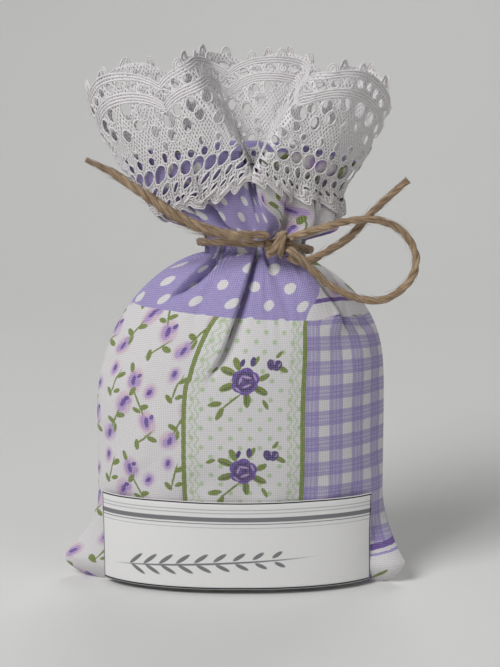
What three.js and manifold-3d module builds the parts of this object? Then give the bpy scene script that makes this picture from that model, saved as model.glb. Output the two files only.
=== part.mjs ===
import * as THREE from 'three';
import { mergeVertices } from 'three/addons/utils/BufferGeometryUtils.js';
import Module from 'manifold-3d';

// Lavender sachet: two cotton panels sewn into a bag, stuffed with dried lavender and
// tied at the neck with jute twine in a half bow. A wide cotton lace is sewn round the
// open ruffle above the tie, and a paper label lies across the lower front.
// Millimetres, +Z up. The front faces -Y and the base stands on z = 0.

// Filled body
const bodyWidth = 78;
const bodyDepth = 34;
const bulgeHeight = 42;
const baseWidth = 80;
const baseDepth = 25;
const baseSeamInset = 3;
const cornerWidth = 90;
const cornerHeight = 6;
const cornerReach = 20;
const cornerPinch = 1.7;
const pinchReach = 24;
const shoulderFullness = 3;
const shoulderRoundness = 0.74;

// Neck, drawn in by the tie
const tieHeight = 92.5;
const tieSlope = 0.07;
const tieTilt = 0.2;
const slopeReachBelow = 45;
const slopeReachAbove = 20;
const neckShift = 4;
const neckWidth = 27;
const neckDepth = 20;
const neckBand = 5;
const gatherCount = 5;
const gatherDepth = 1.4;
const gatherReach = 35;

// Ruffle above the tie, with a deep pleat in the front that opens upwards
const mouthWidth = 80;
const mouthDepth = 24;
const mouthDrop = 10;
const flareRoundness = 0.6;
const clothAboveTie = 26.5;
const lobeDepth = 7;
const pleatDepth = 8;
const pleatPlace = 0.535;
const pleatStart = 16.5;
const pleatHalfWidth = 20.5;
const pleatLeastOpening = 0.4;
const pleatFloorShare = 0.5;
const pleatBrimShare = 1.5;
const backLobes = 3;
const backLobeDepth = 5;

// Cloth, lace, label and thread
const clothThickness = 0.5;
const seamGap = 0.4;
const laceWidth = 31;
const laceFootAboveTie = 19.5;
const laceSagLeft = 14;
const laceSagRight = 10.5;
const laceSagReach = 0.22;
const laceFootWave = 0.9;
const laceThickness = 0.8;
const laceGap = 0.7;
const scallopCount = 4;
const scallopPhase = 0.06;
const scallopDepth = 4.2;
const scallopRoundness = 0.6;
const laceHoleRows = 4;
const labelHeight = 24.5;
const labelFoot = 1.5;
const labelLeftShare = 0.11;
const labelRightShare = 0.85;
const labelGap = 0.4;
const paperThickness = 0.3;
const threadDiameter = 0.4;
const threadGap = 0.3;
const stitchInset = 2.2;

// Filling
const fillGap = 0.4;
const fillHeadroom = 13;

// Twine and its knot
const twineDiameter = 2;
const twineGap = 0.3;
const knotRadius = 3.4;
const knotOffset = 5.9;
const knotBandDiameter = 1.7;
const knotBandRise = 0.45;
const knotBandShift = -0.6;

// Grid of the cloth pieces
const clothColumns = 32;
const bodyRows = 12;
const ruffleRows = 7;
const fillColumns = 20;
const fillRows = 11;
const labelColumns = 18;

// Routes of the free twine, from the middle of the knot to the right, back and up
const loopRoute = [
  [6.2, -2.0, 3.3], [11.6, -2.5, 5.0], [17.3, -2.8, 6.6], [26.2, -3.2, 7.0],
  [32.6, -3.6, 3.3], [35.5, -4.0, -2.6], [34.1, -4.2, -8.4], [27.7, -4.3, -13.4],
  [21.2, -4.2, -13.4], [13.6, -3.9, -10.0], [8.2, -3.6, -5.4], [5.2, -3.5, -2.4],
];
const leftTailRoute = [
  [-6.0, -1.9, 3.6], [-12.5, -2.2, 4.0], [-20.2, -2.4, 5.7], [-27.8, -2.8, 9.1],
  [-35.4, -3.3, 14.5], [-43.0, -3.9, 19.6], [-49.1, -4.4, 22.7],
];
const rightTailRoute = [
  [5.0, -0.5, -4.2], [9.4, -0.2, -3.3], [14.0, 0.0, -0.8], [18.7, 0.1, 2.4],
  [25.0, 0.2, 9.4], [33.4, 0.3, 16.9],
];
const loopUpperRoot = new THREE.Vector3(0.8, -0.25, 0.55).normalize();
const loopLowerRoot = new THREE.Vector3(0.72, -0.66, -0.2).normalize();
const leftTailRoot = new THREE.Vector3(-0.72, -0.3, 0.62).normalize();
const rightTailRoot = new THREE.Vector3(0.72, -0.1, -0.69).normalize();
const wrapLeftRoot = new THREE.Vector3(-0.99, 0.12, 0.08).normalize();
const wrapRightRoot = new THREE.Vector3(0.75, 0.66, -0.1).normalize();

const front = 1;
const back = -1;
const neckBottom = tieHeight - neckBand / 2;
const neckTop = tieHeight + neckBand / 2;
const clothTop = tieHeight + clothAboveTie;
const laceFoot = tieHeight + laceFootAboveTie;
const laceTop = laceFoot + laceWidth;
const { clamp, lerp } = THREE.MathUtils;

function ramp(value, start, end) {
  const share = clamp((value - start) / (end - start), 0, 1);
  return share * share * (3 - 2 * share);
}

// Share of the full body left at a height: 1 up to the bulge, 0 at the neck.
function shoulder(height) {
  const share = clamp((height - bulgeHeight) / (neckBottom - bulgeHeight), 0, 1);
  return (1 - share ** shoulderFullness) ** shoulderRoundness;
}

// Share of the ruffle's spread reached at a height: quick at the neck, slower above.
function flare(height) {
  return clamp((height - neckTop) / (laceTop - neckTop), 0, 1) ** flareRoundness;
}

function halfWidth(height) {
  const ear = (cornerWidth - bodyWidth) / 2;
  if (height < cornerHeight) {
    const rise = Math.sin((Math.PI / 2) * (height / cornerHeight));
    return lerp(baseWidth, cornerWidth, rise) / 2;
  }
  if (height > neckTop) {
    return lerp(neckWidth, mouthWidth, flare(height)) / 2;
  }
  const fade = clamp(1 - (height - cornerHeight) / cornerReach, 0, 1) ** 2;
  return lerp(neckWidth, bodyWidth, shoulder(height)) / 2 + ear * fade;
}

function halfDepth(height) {
  if (height < bulgeHeight) {
    const rise = Math.sin((Math.PI / 2) * (height / bulgeHeight));
    return lerp(baseDepth, bodyDepth, rise) / 2;
  }
  if (height > neckTop) {
    return lerp(neckDepth, mouthDepth, flare(height)) / 2;
  }
  return lerp(neckDepth, bodyDepth, shoulder(height)) / 2;
}

// Above 1 the section comes to an edge at the side seams, as at the bag's corners.
function pinch(height) {
  return lerp(cornerPinch, 1, ramp(height, cornerHeight, cornerHeight + pinchReach));
}

// The tie sits to the right of the middle, slopes down to the right and rises towards the
// front. The cloth follows it and levels out away from it.
function slant(height) {
  const reach = height < tieHeight ? slopeReachBelow : slopeReachAbove;
  return Math.cos((Math.PI / 2) * clamp((height - tieHeight) / reach, -1, 1)) ** 2;
}

function leanOver(point, height) {
  point.x += neckShift * slant(height);
  point.z -= (tieSlope * point.x + tieTilt * point.y) * slant(height);
  return point;
}

function gather(height) {
  const below = ramp(height, tieHeight - gatherReach, tieHeight);
  const above = 1 - ramp(height, tieHeight, tieHeight + gatherReach);
  return gatherDepth * Math.min(below, above);
}

// How far the cloth stands out of its plain section: gathers at the neck, and lobes and
// pleats that deepen towards the mouth.
function folds(side, across, height) {
  const gathers = gather(height) * Math.cos(2 * Math.PI * gatherCount * (across - pleatPlace));
  const spread = ramp(height, neckTop, laceTop);
  if (side === back) {
    return gathers + backLobeDepth * spread * Math.cos(2 * Math.PI * backLobes * (across - 0.5));
  }
  const pleatFoot = tieHeight + pleatStart;
  const opening = clamp((height - pleatFoot) / (laceTop - pleatFoot), pleatLeastOpening, 1);
  const distance = Math.abs(across - pleatPlace) * Math.PI * (mouthWidth / 2);
  const reach = distance / (pleatHalfWidth * opening);
  const inPleat = 1 - ramp(reach, pleatFloorShare, pleatBrimShare);
  return gathers + spread * lerp(lobeDepth, -pleatDepth, inPleat);
}

// A point on one face of the bag. across runs from 0 at its left side seam to 1 at its
// right one, seen from that side, and out is the distance outside the cloth.
function bagPoint(side, across, height, out) {
  const angle = Math.PI * across;
  const x = -side * (halfWidth(height) + out) * Math.cos(angle);
  const depth = halfDepth(height) + folds(side, across, height) + out;
  const y = -side * (seamGap / 2 + depth * Math.sin(angle) ** pinch(height));
  const drop = mouthDrop * (1 - Math.sin(angle)) * ramp(height, neckTop, laceTop);
  return leanOver(new THREE.Vector3(x, y, height - drop), height);
}

function geometryOf(points, triangles) {
  const geometry = new THREE.BufferGeometry();
  const values = points.flatMap((point) => point.toArray());
  geometry.setAttribute('position', new THREE.Float32BufferAttribute(values, 3));
  geometry.setIndex(triangles);
  geometry.computeVertexNormals();
  return geometry;
}

// A closed sheet between two grids of points, with open cells left out right through it.
function sheet(outer, inner, isOpen = () => false) {
  const columns = outer[0].length;
  const layer = outer.length * columns;
  const triangles = [];
  const quad = (a, b, c, d) => triangles.push(a, b, c, a, c, d);
  const filled = (column, row) => {
    const inside = column >= 0 && row >= 0 && column < columns - 1 && row < outer.length - 1;
    return inside && !isOpen(column, row);
  };
  for (let row = 0; row < outer.length - 1; row += 1) {
    for (let column = 0; column < columns - 1; column += 1) {
      if (filled(column, row)) {
        const a = row * columns + column;
        const b = a + 1;
        const c = b + columns;
        const d = a + columns;
        quad(a, b, c, d);
        quad(layer + d, layer + c, layer + b, layer + a);
        const sides = [
          [a, b, column, row - 1], [b, c, column + 1, row],
          [c, d, column, row + 1], [d, a, column - 1, row],
        ];
        for (const [from, to, nextColumn, nextRow] of sides) {
          if (!filled(nextColumn, nextRow)) {
            quad(to, from, layer + from, layer + to);
          }
        }
      }
    }
  }
  return geometryOf([...outer.flat(), ...inner.flat()], triangles);
}

function tube(points, diameter, sides, steps) {
  const section = new THREE.Shape();
  for (let side = 0; side < sides; side += 1) {
    const angle = (2 * Math.PI * side) / sides;
    const x = (diameter / 2) * Math.cos(angle);
    const y = (diameter / 2) * Math.sin(angle);
    if (side === 0) section.moveTo(x, y);
    else section.lineTo(x, y);
  }
  const extrudePath = new THREE.CatmullRomCurve3(points);
  return new THREE.ExtrudeGeometry(section, { steps, bevelEnabled: false, extrudePath });
}

// Heights of the cloth's rows: closest at the base and under the neck.
function clothHeights() {
  const heights = [];
  for (let row = 0; row <= bodyRows; row += 1) {
    heights.push((neckBottom * (1 - Math.cos((Math.PI * row) / bodyRows))) / 2);
  }
  for (let row = 0; row <= ruffleRows; row += 1) {
    heights.push(lerp(neckTop, clothTop, row / ruffleRows));
  }
  return heights;
}

// One face of the bag, from the seam under the base up to the cut edge of the ruffle.
function panel(side) {
  const grid = (out, floor) => {
    const rows = [[]];
    for (let column = 0; column <= clothColumns; column += 1) {
      const reach = baseWidth / 2 - baseSeamInset + out;
      const x = -side * reach * Math.cos((Math.PI * column) / clothColumns);
      rows[0].push(new THREE.Vector3(x, (-side * seamGap) / 2, floor));
    }
    for (const height of clothHeights()) {
      const row = [];
      for (let column = 0; column <= clothColumns; column += 1) {
        const point = bagPoint(side, column / clothColumns, height, out);
        point.z = Math.max(point.z, floor);
        row.push(point);
      }
      rows.push(row);
    }
    return rows;
  };
  return sheet(grid(0, 0), grid(-clothThickness, clothThickness));
}

// Height of the lace's top edge above its foot: a row of rounded scallops.
function laceHeight(across) {
  const wave = Math.abs(Math.sin(Math.PI * (scallopCount * across + scallopPhase)));
  return laceWidth - scallopDepth * (1 - wave ** scallopRoundness);
}

// The lace's foot is highest at the pleat and sags away from it to both sides.
function laceFootHeight(side, across) {
  const fromPleat = side * (across - 0.5) + 0.5 - pleatPlace;
  const sag = fromPleat < 0 ? laceSagLeft : laceSagRight;
  const sagged = sag * (1 - Math.exp(-Math.abs(fromPleat) / laceSagReach));
  return laceFoot - sagged + laceFootWave * Math.cos(4 * Math.PI * scallopCount * across);
}

// Openwork lace round one face of the ruffle: solid clothwork with rows of holes.
function lace(side) {
  const rowsOfCells = 2 * laceHoleRows + 1;
  const grid = (out) => {
    const rows = [];
    for (let row = 0; row <= rowsOfCells; row += 1) {
      const points = [];
      for (let column = 0; column <= clothColumns; column += 1) {
        const across = column / clothColumns;
        const top = laceFoot + laceHeight(across);
        const height = lerp(laceFootHeight(side, across), top, row / rowsOfCells);
        points.push(bagPoint(side, across, height, out));
      }
      rows.push(points);
    }
    return rows;
  };
  const isHole = (column, row) => column % 2 === 1 && row % 2 === 1;
  return sheet(grid(laceGap + laceThickness), grid(laceGap), isHole);
}

// Line of stitching that holds the lace to the ruffle, a little above its foot.
function laceStitch(side) {
  const out = laceGap + laceThickness + threadGap + threadDiameter / 2;
  const points = [];
  for (let column = 1; column < clothColumns; column += 1) {
    const across = column / clothColumns;
    points.push(bagPoint(side, across, laceFootHeight(side, across) + stitchInset, out));
  }
  return tube(points, threadDiameter, 4, 60);
}

// One line of sewing runs inside the bag: down a side, along the base and up the other.
function seamThread() {
  const inset = clothThickness + threadGap + threadDiameter / 2;
  const side = [];
  for (const share of [0.95, 0.86, 0.74, 0.6, 0.45, 0.3, 0.17]) {
    side.push(new THREE.Vector3(halfWidth(share * neckBottom) - inset, 0, share * neckBottom));
  }
  side.push(new THREE.Vector3(halfWidth(cornerHeight) - inset, 0, cornerHeight));
  side.push(new THREE.Vector3(halfWidth(cornerHeight / 2) - inset, 0, cornerHeight / 2));
  side.push(new THREE.Vector3(baseWidth / 2, 0, 1.2 * inset));
  const reach = baseWidth / 2 - baseSeamInset;
  const base = [];
  for (const share of [1, 0.5, 0, -0.5, -1]) {
    base.push(new THREE.Vector3(share * reach, 0, inset));
  }
  const otherSide = side.map((point) => new THREE.Vector3(-point.x, 0, point.z)).reverse();
  const route = [...side, ...base, ...otherSide];
  for (const point of route) {
    leanOver(point, point.z);
  }
  return tube(route, threadDiameter, 4, 70);
}

// The loose filling settles into the shape of the bag and stops short of the tie.
function filling() {
  const seamRoom = clothThickness + 4 * threadGap + threadDiameter;
  const bottom = seamRoom;
  const top = neckBottom - fillHeadroom;
  const points = [];
  for (let row = 0; row < fillRows; row += 1) {
    const height = lerp(bottom, top, (1 - Math.cos((Math.PI * row) / (fillRows - 1))) / 2);
    const inset = clothThickness + fillGap + gather(height);
    for (const side of [front, back]) {
      for (let column = 0; column < fillColumns; column += 1) {
        const angle = (Math.PI * column) / fillColumns;
        const x = -side * (halfWidth(height) - seamRoom) * Math.cos(angle);
        const y = -side * (halfDepth(height) - inset) * Math.sin(angle) ** pinch(height);
        points.push(leanOver(new THREE.Vector3(x, y, height), height));
      }
    }
  }
  const ring = 2 * fillColumns;
  const lastRing = (fillRows - 1) * ring;
  const floorCentre = points.push(new THREE.Vector3(0, 0, bottom)) - 1;
  const topCentre = points.push(leanOver(new THREE.Vector3(0, 0, top), top)) - 1;
  const triangles = [];
  for (let column = 0; column < ring; column += 1) {
    const next = (column + 1) % ring;
    for (let start = 0; start < lastRing; start += ring) {
      triangles.push(start + column, start + next, start + ring + next);
      triangles.push(start + column, start + ring + next, start + ring + column);
    }
    triangles.push(floorCentre, next, column);
    triangles.push(topCentre, lastRing + column, lastRing + next);
  }
  return geometryOf(points, triangles);
}

// Paper wrapped round the lower front, upright and touching the bag along its top edge.
function label() {
  const top = labelFoot + labelHeight;
  const grid = (out) => {
    const rows = [];
    for (const height of [labelFoot, labelFoot + labelHeight / 2, top]) {
      const points = [];
      for (let column = 0; column <= labelColumns; column += 1) {
        const angle = Math.PI * lerp(labelLeftShare, labelRightShare, column / labelColumns);
        const x = -(halfWidth(top) + labelGap + out) * Math.cos(angle);
        const y = -(seamGap / 2 + (halfDepth(top) + labelGap + out) * Math.sin(angle));
        points.push(new THREE.Vector3(x, y, height));
      }
      rows.push(points);
    }
    return rows;
  };
  return sheet(grid(paperThickness), grid(0));
}

// Middle of the knot, in front of the neck and to the right of its middle.
function knotCentre() {
  const place = Math.acos(-knotOffset / (neckWidth / 2)) / Math.PI;
  const depth = (neckDepth / 2) * Math.sin(Math.PI * place) + gatherDepth;
  const y = -(seamGap / 2 + depth + twineGap + knotRadius);
  return leanOver(new THREE.Vector3(knotOffset, y, tieHeight), tieHeight);
}

const knot = knotCentre();

function fromKnot(direction, distance) {
  return knot.clone().addScaledVector(direction, distance);
}

// A piece of twine that leaves the knot squarely, follows its route and may come back.
function freeTwine(root, route, endRoot, steps) {
  const seat = knotRadius + twineGap;
  const points = [fromKnot(root, seat), fromKnot(root, seat + twineDiameter / 2)];
  for (const [x, y, z] of route) {
    points.push(knot.clone().add(new THREE.Vector3(x, y, z)));
  }
  if (endRoot) {
    points.push(fromKnot(endRoot, seat + twineDiameter / 2), fromKnot(endRoot, seat));
  }
  return tube(points, twineDiameter, 8, steps);
}

// The turn of twine round the neck, from one side of the knot to the other.
function neckWrap() {
  const seat = knotRadius + twineGap;
  const reachX = neckWidth / 2 + twineGap + twineDiameter / 2;
  const reachY = seamGap / 2 + neckDepth / 2 + gatherDepth + twineGap + twineDiameter / 2;
  const points = [fromKnot(wrapRightRoot, seat), fromKnot(wrapRightRoot, seat + twineDiameter / 2)];
  for (let degrees = -38; degrees <= 258; degrees += 18.5) {
    const angle = THREE.MathUtils.degToRad(degrees);
    const point = new THREE.Vector3(reachX * Math.cos(angle), reachY * Math.sin(angle), tieHeight);
    points.push(leanOver(point, tieHeight));
  }
  points.push(fromKnot(wrapLeftRoot, seat + twineDiameter / 2), fromKnot(wrapLeftRoot, seat));
  return tube(points, twineDiameter, 8, 44);
}

const wasm = await Module();
wasm.setup();

function solidOf(geometry) {
  geometry.deleteAttribute('normal');
  geometry.deleteAttribute('uv');
  const merged = mergeVertices(geometry);
  const mesh = new wasm.Mesh({
    numProp: 3,
    vertProperties: new Float32Array(merged.attributes.position.array),
    triVerts: new Uint32Array(merged.index.array),
  });
  return new wasm.Manifold(mesh);
}

// Knot of the half bow: a pulled-tight core with two turns of twine crossing over it.
function bowKnot() {
  const bandRadius = knotRadius + knotBandRise - knotBandDiameter / 2;
  const core = new THREE.SphereGeometry(knotRadius, 18, 12);
  const upright = new THREE.TorusGeometry(bandRadius, knotBandDiameter / 2, 8, 28);
  upright.rotateY(Math.PI / 2);
  upright.translate(knotBandShift, 0, 0);
  const slanted = new THREE.TorusGeometry(bandRadius, knotBandDiameter / 2, 8, 28);
  slanted.rotateY(Math.PI / 2);
  slanted.rotateZ(-0.2);
  slanted.rotateY(0.45);
  const joined = solidOf(core).add(solidOf(upright)).add(solidOf(slanted)).getMesh();
  const geometry = new THREE.BufferGeometry();
  geometry.setAttribute('position', new THREE.Float32BufferAttribute(joined.vertProperties, 3));
  geometry.setIndex([...joined.triVerts]);
  geometry.computeVertexNormals();
  return geometry;
}

const sachet = new THREE.Group();

function addPiece(name, geometry, color, roughness, place = new THREE.Vector3()) {
  const material = new THREE.MeshStandardMaterial({ color, roughness, metalness: 0 });
  const mesh = new THREE.Mesh(geometry, material);
  mesh.name = name;
  mesh.position.copy(place);
  sachet.add(mesh);
}

const cotton = 0xcfc6e2;
const cottonLace = 0xf2f0ee;
const jute = 0xb59877;
const sewingThread = 0xeeeae4;

addPiece('front_panel', panel(front), cotton, 0.9);
addPiece('back_panel', panel(back), cotton, 0.9);
addPiece('seam_thread', seamThread(), sewingThread, 0.8);
addPiece('lavender_fill', filling(), 0x6d5f86, 1);
addPiece('lace_front', lace(front), cottonLace, 0.9);
addPiece('lace_back', lace(back), cottonLace, 0.9);
addPiece('lace_stitch_front', laceStitch(front), sewingThread, 0.8);
addPiece('lace_stitch_back', laceStitch(back), sewingThread, 0.8);
addPiece('paper_label', label(), 0xf4f3f1, 0.6);
addPiece('neck_wrap', neckWrap(), jute, 0.95);
addPiece('bow_knot', bowKnot(), jute, 0.95, knot);
addPiece('bow_loop', freeTwine(loopUpperRoot, loopRoute, loopLowerRoot, 36), jute, 0.95);
addPiece('tail_left', freeTwine(leftTailRoot, leftTailRoute, null, 20), jute, 0.95);
addPiece('tail_right', freeTwine(rightTailRoot, rightTailRoute, null, 16), jute, 0.95);

export default sachet;
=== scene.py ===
"""Dresses the lavender sachet: printed cotton bag, lace ruffle, jute half bow and paper label.

Lengths are metres in the part's own frame: +Z up, the front faces -Y, the base is at z = 0.
The print on the cotton and the label's ornament are drawn in millimetres of cloth and paper.
"""

import logging
import math
from collections.abc import Callable
from dataclasses import dataclass, field
from enum import Enum
from functools import lru_cache

import bpy
import numpy as np
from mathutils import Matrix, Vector

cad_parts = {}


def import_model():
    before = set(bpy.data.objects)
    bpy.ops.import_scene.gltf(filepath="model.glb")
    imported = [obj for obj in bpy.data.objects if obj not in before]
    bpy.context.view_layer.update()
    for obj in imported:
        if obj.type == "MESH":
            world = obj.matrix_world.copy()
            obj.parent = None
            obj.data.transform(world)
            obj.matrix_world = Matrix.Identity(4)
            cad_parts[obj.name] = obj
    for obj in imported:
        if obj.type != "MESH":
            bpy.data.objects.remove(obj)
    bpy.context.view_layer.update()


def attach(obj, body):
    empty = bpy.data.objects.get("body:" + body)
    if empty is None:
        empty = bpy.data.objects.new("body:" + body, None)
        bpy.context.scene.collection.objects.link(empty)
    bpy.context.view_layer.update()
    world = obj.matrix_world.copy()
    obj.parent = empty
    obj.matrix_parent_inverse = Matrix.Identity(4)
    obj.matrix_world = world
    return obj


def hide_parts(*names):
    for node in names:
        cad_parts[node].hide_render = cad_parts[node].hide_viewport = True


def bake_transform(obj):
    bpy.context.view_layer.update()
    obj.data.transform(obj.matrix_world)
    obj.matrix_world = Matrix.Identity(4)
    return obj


LOG = logging.getLogger("sachet")
Point = tuple[float, float, float]
Colour = tuple[float, float, float]
Array = np.ndarray
Material = bpy.types.Material
Piece = bpy.types.Object


class Side(Enum):
    """The two faces of the bag; the value is the sign of its outward -Y direction."""

    FRONT = 1
    BACK = -1


class Half(Enum):
    """The two halves of the print; the value is the sign of the places in it."""

    LEFT = -1
    RIGHT = 1


def ramp(value: Array, start: Array | float, end: Array | float) -> Array:
    """Smooth rise from 0 at start to 1 at end."""
    share = np.clip((value - start) / (end - start), 0.0, 1.0)
    return share * share * (3 - 2 * share)


def lerp(low: Array, high: Array, share: Array) -> Array:
    """Value at a share of the way from low to high."""
    return low + (high - low) * share


def unit(vectors: Array) -> Array:
    """Vectors scaled to length 1."""
    return vectors / np.maximum(np.linalg.norm(vectors, axis=-1, keepdims=True), 1e-12)


def travelled(line: Array) -> Array:
    """Distance along a line up to each of its points."""
    return np.concatenate([[0.0], np.cumsum(np.linalg.norm(np.diff(line, axis=0), axis=1))])


def looked_up(table: Array, row: Array, column: Array) -> Array:
    """Values of a table at places between its entries.

    Args:
        table: Rows of numbers or of vectors.
        row: Share of the way from its first row to its last.
        column: Share of the way along the rows.

    Returns:
        The values, blended from the four entries round each place.
    """
    spots = []
    for share, count in zip((row, column), table.shape):
        spot = np.clip(share, 0.0, 1.0) * (count - 1)
        low = np.minimum(spot.astype(int), count - 2)
        spots.append((low, (spot - low).reshape(spot.shape + (1,) * (table.ndim - 2))))
    (under, up), (left, right) = spots
    lower = lerp(table[under, left], table[under, left + 1], right)
    upper = lerp(table[under + 1, left], table[under + 1, left + 1], right)
    return lerp(lower, upper, up)


def shaded(colour: Colour, share: float) -> Colour:
    """A colour dimmed to a share of itself."""
    return tuple(share * part for part in colour)


def operator(operation: str, swapped: bool = False) -> Callable[..., "Num"]:
    """Makes the method behind one operator of Num.

    Args:
        operation: What its Math node does.
        swapped: True where the value itself is the second input.

    Returns:
        The method.
    """

    def method(value: "Num", *others: "Num | float") -> "Num":
        """Adds the Math node."""
        inputs = (*others, value) if swapped else (value, *others)
        return value.paint.math(operation, *inputs)

    return method


class Num:
    """A value that varies over a surface: a shader socket with arithmetic; | and & join masks."""

    def __init__(self, paint: "Paint", socket: bpy.types.NodeSocket) -> None:
        """Wraps a socket of a paint's node tree."""
        self.paint = paint
        self.socket = socket

    __add__ = __radd__ = operator("ADD")
    __sub__ = operator("SUBTRACT")
    __rsub__ = operator("SUBTRACT", swapped=True)
    __mul__ = __rmul__ = operator("MULTIPLY")
    __abs__ = operator("ABSOLUTE")
    __or__ = operator("MAXIMUM")
    __and__ = operator("MINIMUM")

    def op(self, operation: str, *others: "Num | float") -> "Num":
        """Adds a Math node with this value as its first input."""
        return self.paint.math(operation, self, *others)

    def mix(self, low: "Num | Colour", high: "Num | Colour") -> "Num":
        """Mixes two colours: low where this value is 0 and high where it is 1."""
        low, high = (end if isinstance(end, Num) else (*end, 1.0) for end in (low, high))
        return self.paint.node("ShaderNodeMix", {"data_type": "RGBA"}, {0: self, 6: low, 7: high}, 2)

    def smooth(self, start: float, end: float) -> "Num":
        """Smooth step from 0 at start to 1 at end."""
        inputs = {"Value": self, "From Min": start, "From Max": end}
        return self.paint.node("ShaderNodeMapRange", {"interpolation_type": "SMOOTHSTEP"}, inputs)

    def below(self, limit: float, edge: float) -> "Num":
        """Mask of where the value is below a limit, with a soft edge."""
        return self.smooth(limit + edge, limit - edge)

    def split(self) -> tuple["Num", ...]:
        """The three parts of a vector."""
        made = self.paint.node("ShaderNodeSeparateXYZ", {}, {0: self}).socket.node
        return tuple(Num(self.paint, part) for part in made.outputs)

    def noise(self, scale: float, detail: float = 2.0) -> "Num":
        """Noise from 0 to 1; scale is in cycles per millimetre of this place."""
        inputs = {"Vector": self, "Scale": scale, "Detail": detail}
        return self.paint.node("ShaderNodeTexNoise", {}, inputs)

    def cell(self, size: tuple[float, float], shift: tuple[float, float] = (0.0, 0.0)) -> "Num":
        """Place inside a repeating cell, counted from its middle.

        Args:
            size: Size of a cell.
            shift: How far the cells are moved.

        Returns:
            The place in its cell.
        """
        far = 1000.0
        start = (far * size[0] + shift[0], far * size[1] + shift[1], 0.0)
        inside = self.paint.vector("MODULO", self.paint.vector("ADD", self, start), (*size, 2.0))
        return self.paint.vector("SUBTRACT", inside, (size[0] / 2, size[1] / 2, 0.0))

    def reach(self) -> "Num":
        """Distance of a place from the middle of its cell."""
        flat = self.paint.vector("MULTIPLY", self, (1.0, 1.0, 0.0))
        return self.paint.vector("LENGTH", flat, output="Value")

    def oval(self, centre: tuple[float, float], size: tuple[float, float], turn: float,
             blur: float = 0.09) -> "Num":
        """Mask of a soft-edged oval on cloth or paper, in millimetres.

        Args:
            centre: Middle of the oval.
            size: Half-lengths along and across it.
            turn: Its direction in degrees.
            blur: Half-width of its soft edge.

        Returns:
            The mask.
        """
        cosine, sine = math.cos(math.radians(turn)), math.sin(math.radians(turn))
        square = None
        for (x, y), half in (((cosine, sine), size[0]), ((-sine, cosine), size[1])):
            shift = x * centre[0] + y * centre[1]
            scaled = (x / half, y / half, -shift / half)
            share = self.paint.vector("DOT_PRODUCT", self, scaled, output="Value")
            square = share.op("MULTIPLY_ADD", share, square) if square else share * share
        soft = min(0.45, blur / min(size))
        return square.smooth((1 + soft) ** 2, (1 - soft) ** 2)


class Paint:
    """A material under construction: one Principled shader and the nodes that feed it."""

    def __init__(self, name: str, roughness: float, sheen: float = 0.0) -> None:
        """Starts the material.

        Args:
            name: Name of the material.
            roughness: Roughness of the whole surface.
            sheen: Weight of the soft fibre sheen.
        """
        self.material = bpy.data.materials.new(name)
        self.material.use_nodes = True
        self.tree = self.material.node_tree
        self.tree.nodes.clear()
        self.shader = self.tree.nodes.new("ShaderNodeBsdfPrincipled")
        self.shader.inputs["Roughness"].default_value = roughness
        self.shader.inputs["Sheen Weight"].default_value = sheen
        self.shader.inputs["Specular IOR Level"].default_value = 0.25
        output = self.tree.nodes.new("ShaderNodeOutputMaterial")
        self.tree.links.new(self.shader.outputs["BSDF"], output.inputs["Surface"])

    def node(self, kind: str, settings: dict, inputs: dict, output: int | str = 0) -> Num:
        """Adds any node.

        Args:
            kind: The node's type.
            settings: Properties that are set before the sockets.
            inputs: Socket name or number to a value or a Num.
            output: Name or number of the output that is wanted.

        Returns:
            The node's output.
        """
        made = self.tree.nodes.new(kind)
        for key, value in settings.items():
            setattr(made, key, value)
        for key, value in inputs.items():
            if isinstance(value, Num):
                self.tree.links.new(value.socket, made.inputs[key])
            else:
                made.inputs[key].default_value = value
        return Num(self, made.outputs[output])

    def math(self, operation: str, *values: Num | float) -> Num:
        """Adds a Math node."""
        return self.node("ShaderNodeMath", {"operation": operation}, dict(enumerate(values)))

    def vector(self, operation: str, *values: Num | Point, output: str = "Vector") -> Num:
        """Adds a Vector Math node."""
        return self.node("ShaderNodeVectorMath", {"operation": operation}, dict(enumerate(values)), output)

    def join(self, *parts: Num | float) -> Num:
        """A vector from its parts."""
        return self.node("ShaderNodeCombineXYZ", {}, dict(enumerate(parts)))

    def surface_mm(self) -> Num:
        """Place on the piece's own UV map in millimetres, with 1 as its third part."""
        uv = self.node("ShaderNodeTexCoord", {}, {}, "UV")
        return self.vector("MULTIPLY_ADD", uv, (1000.0, 1000.0, 0.0), (0.0, 0.0, 1.0))

    def object_mm(self) -> Num:
        """Place in the part's frame, in millimetres."""
        place = self.node("ShaderNodeTexCoord", {}, {}, "Object")
        return self.vector("MULTIPLY", place, (1000.0, 1000.0, 1000.0))

    def relief(self, height: Num, strength: float, depth: float) -> None:
        """Raises the surface by a height from 0 to 1; depth is in metres."""
        inputs = {"Strength": strength, "Distance": depth, "Height": height}
        self.feed("Normal", self.node("ShaderNodeBump", {}, inputs, "Normal"))

    def feed(self, socket: str, value: Num) -> None:
        """Links a value to a socket of the shader."""
        self.tree.links.new(value.socket, self.shader.inputs[socket])


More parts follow.
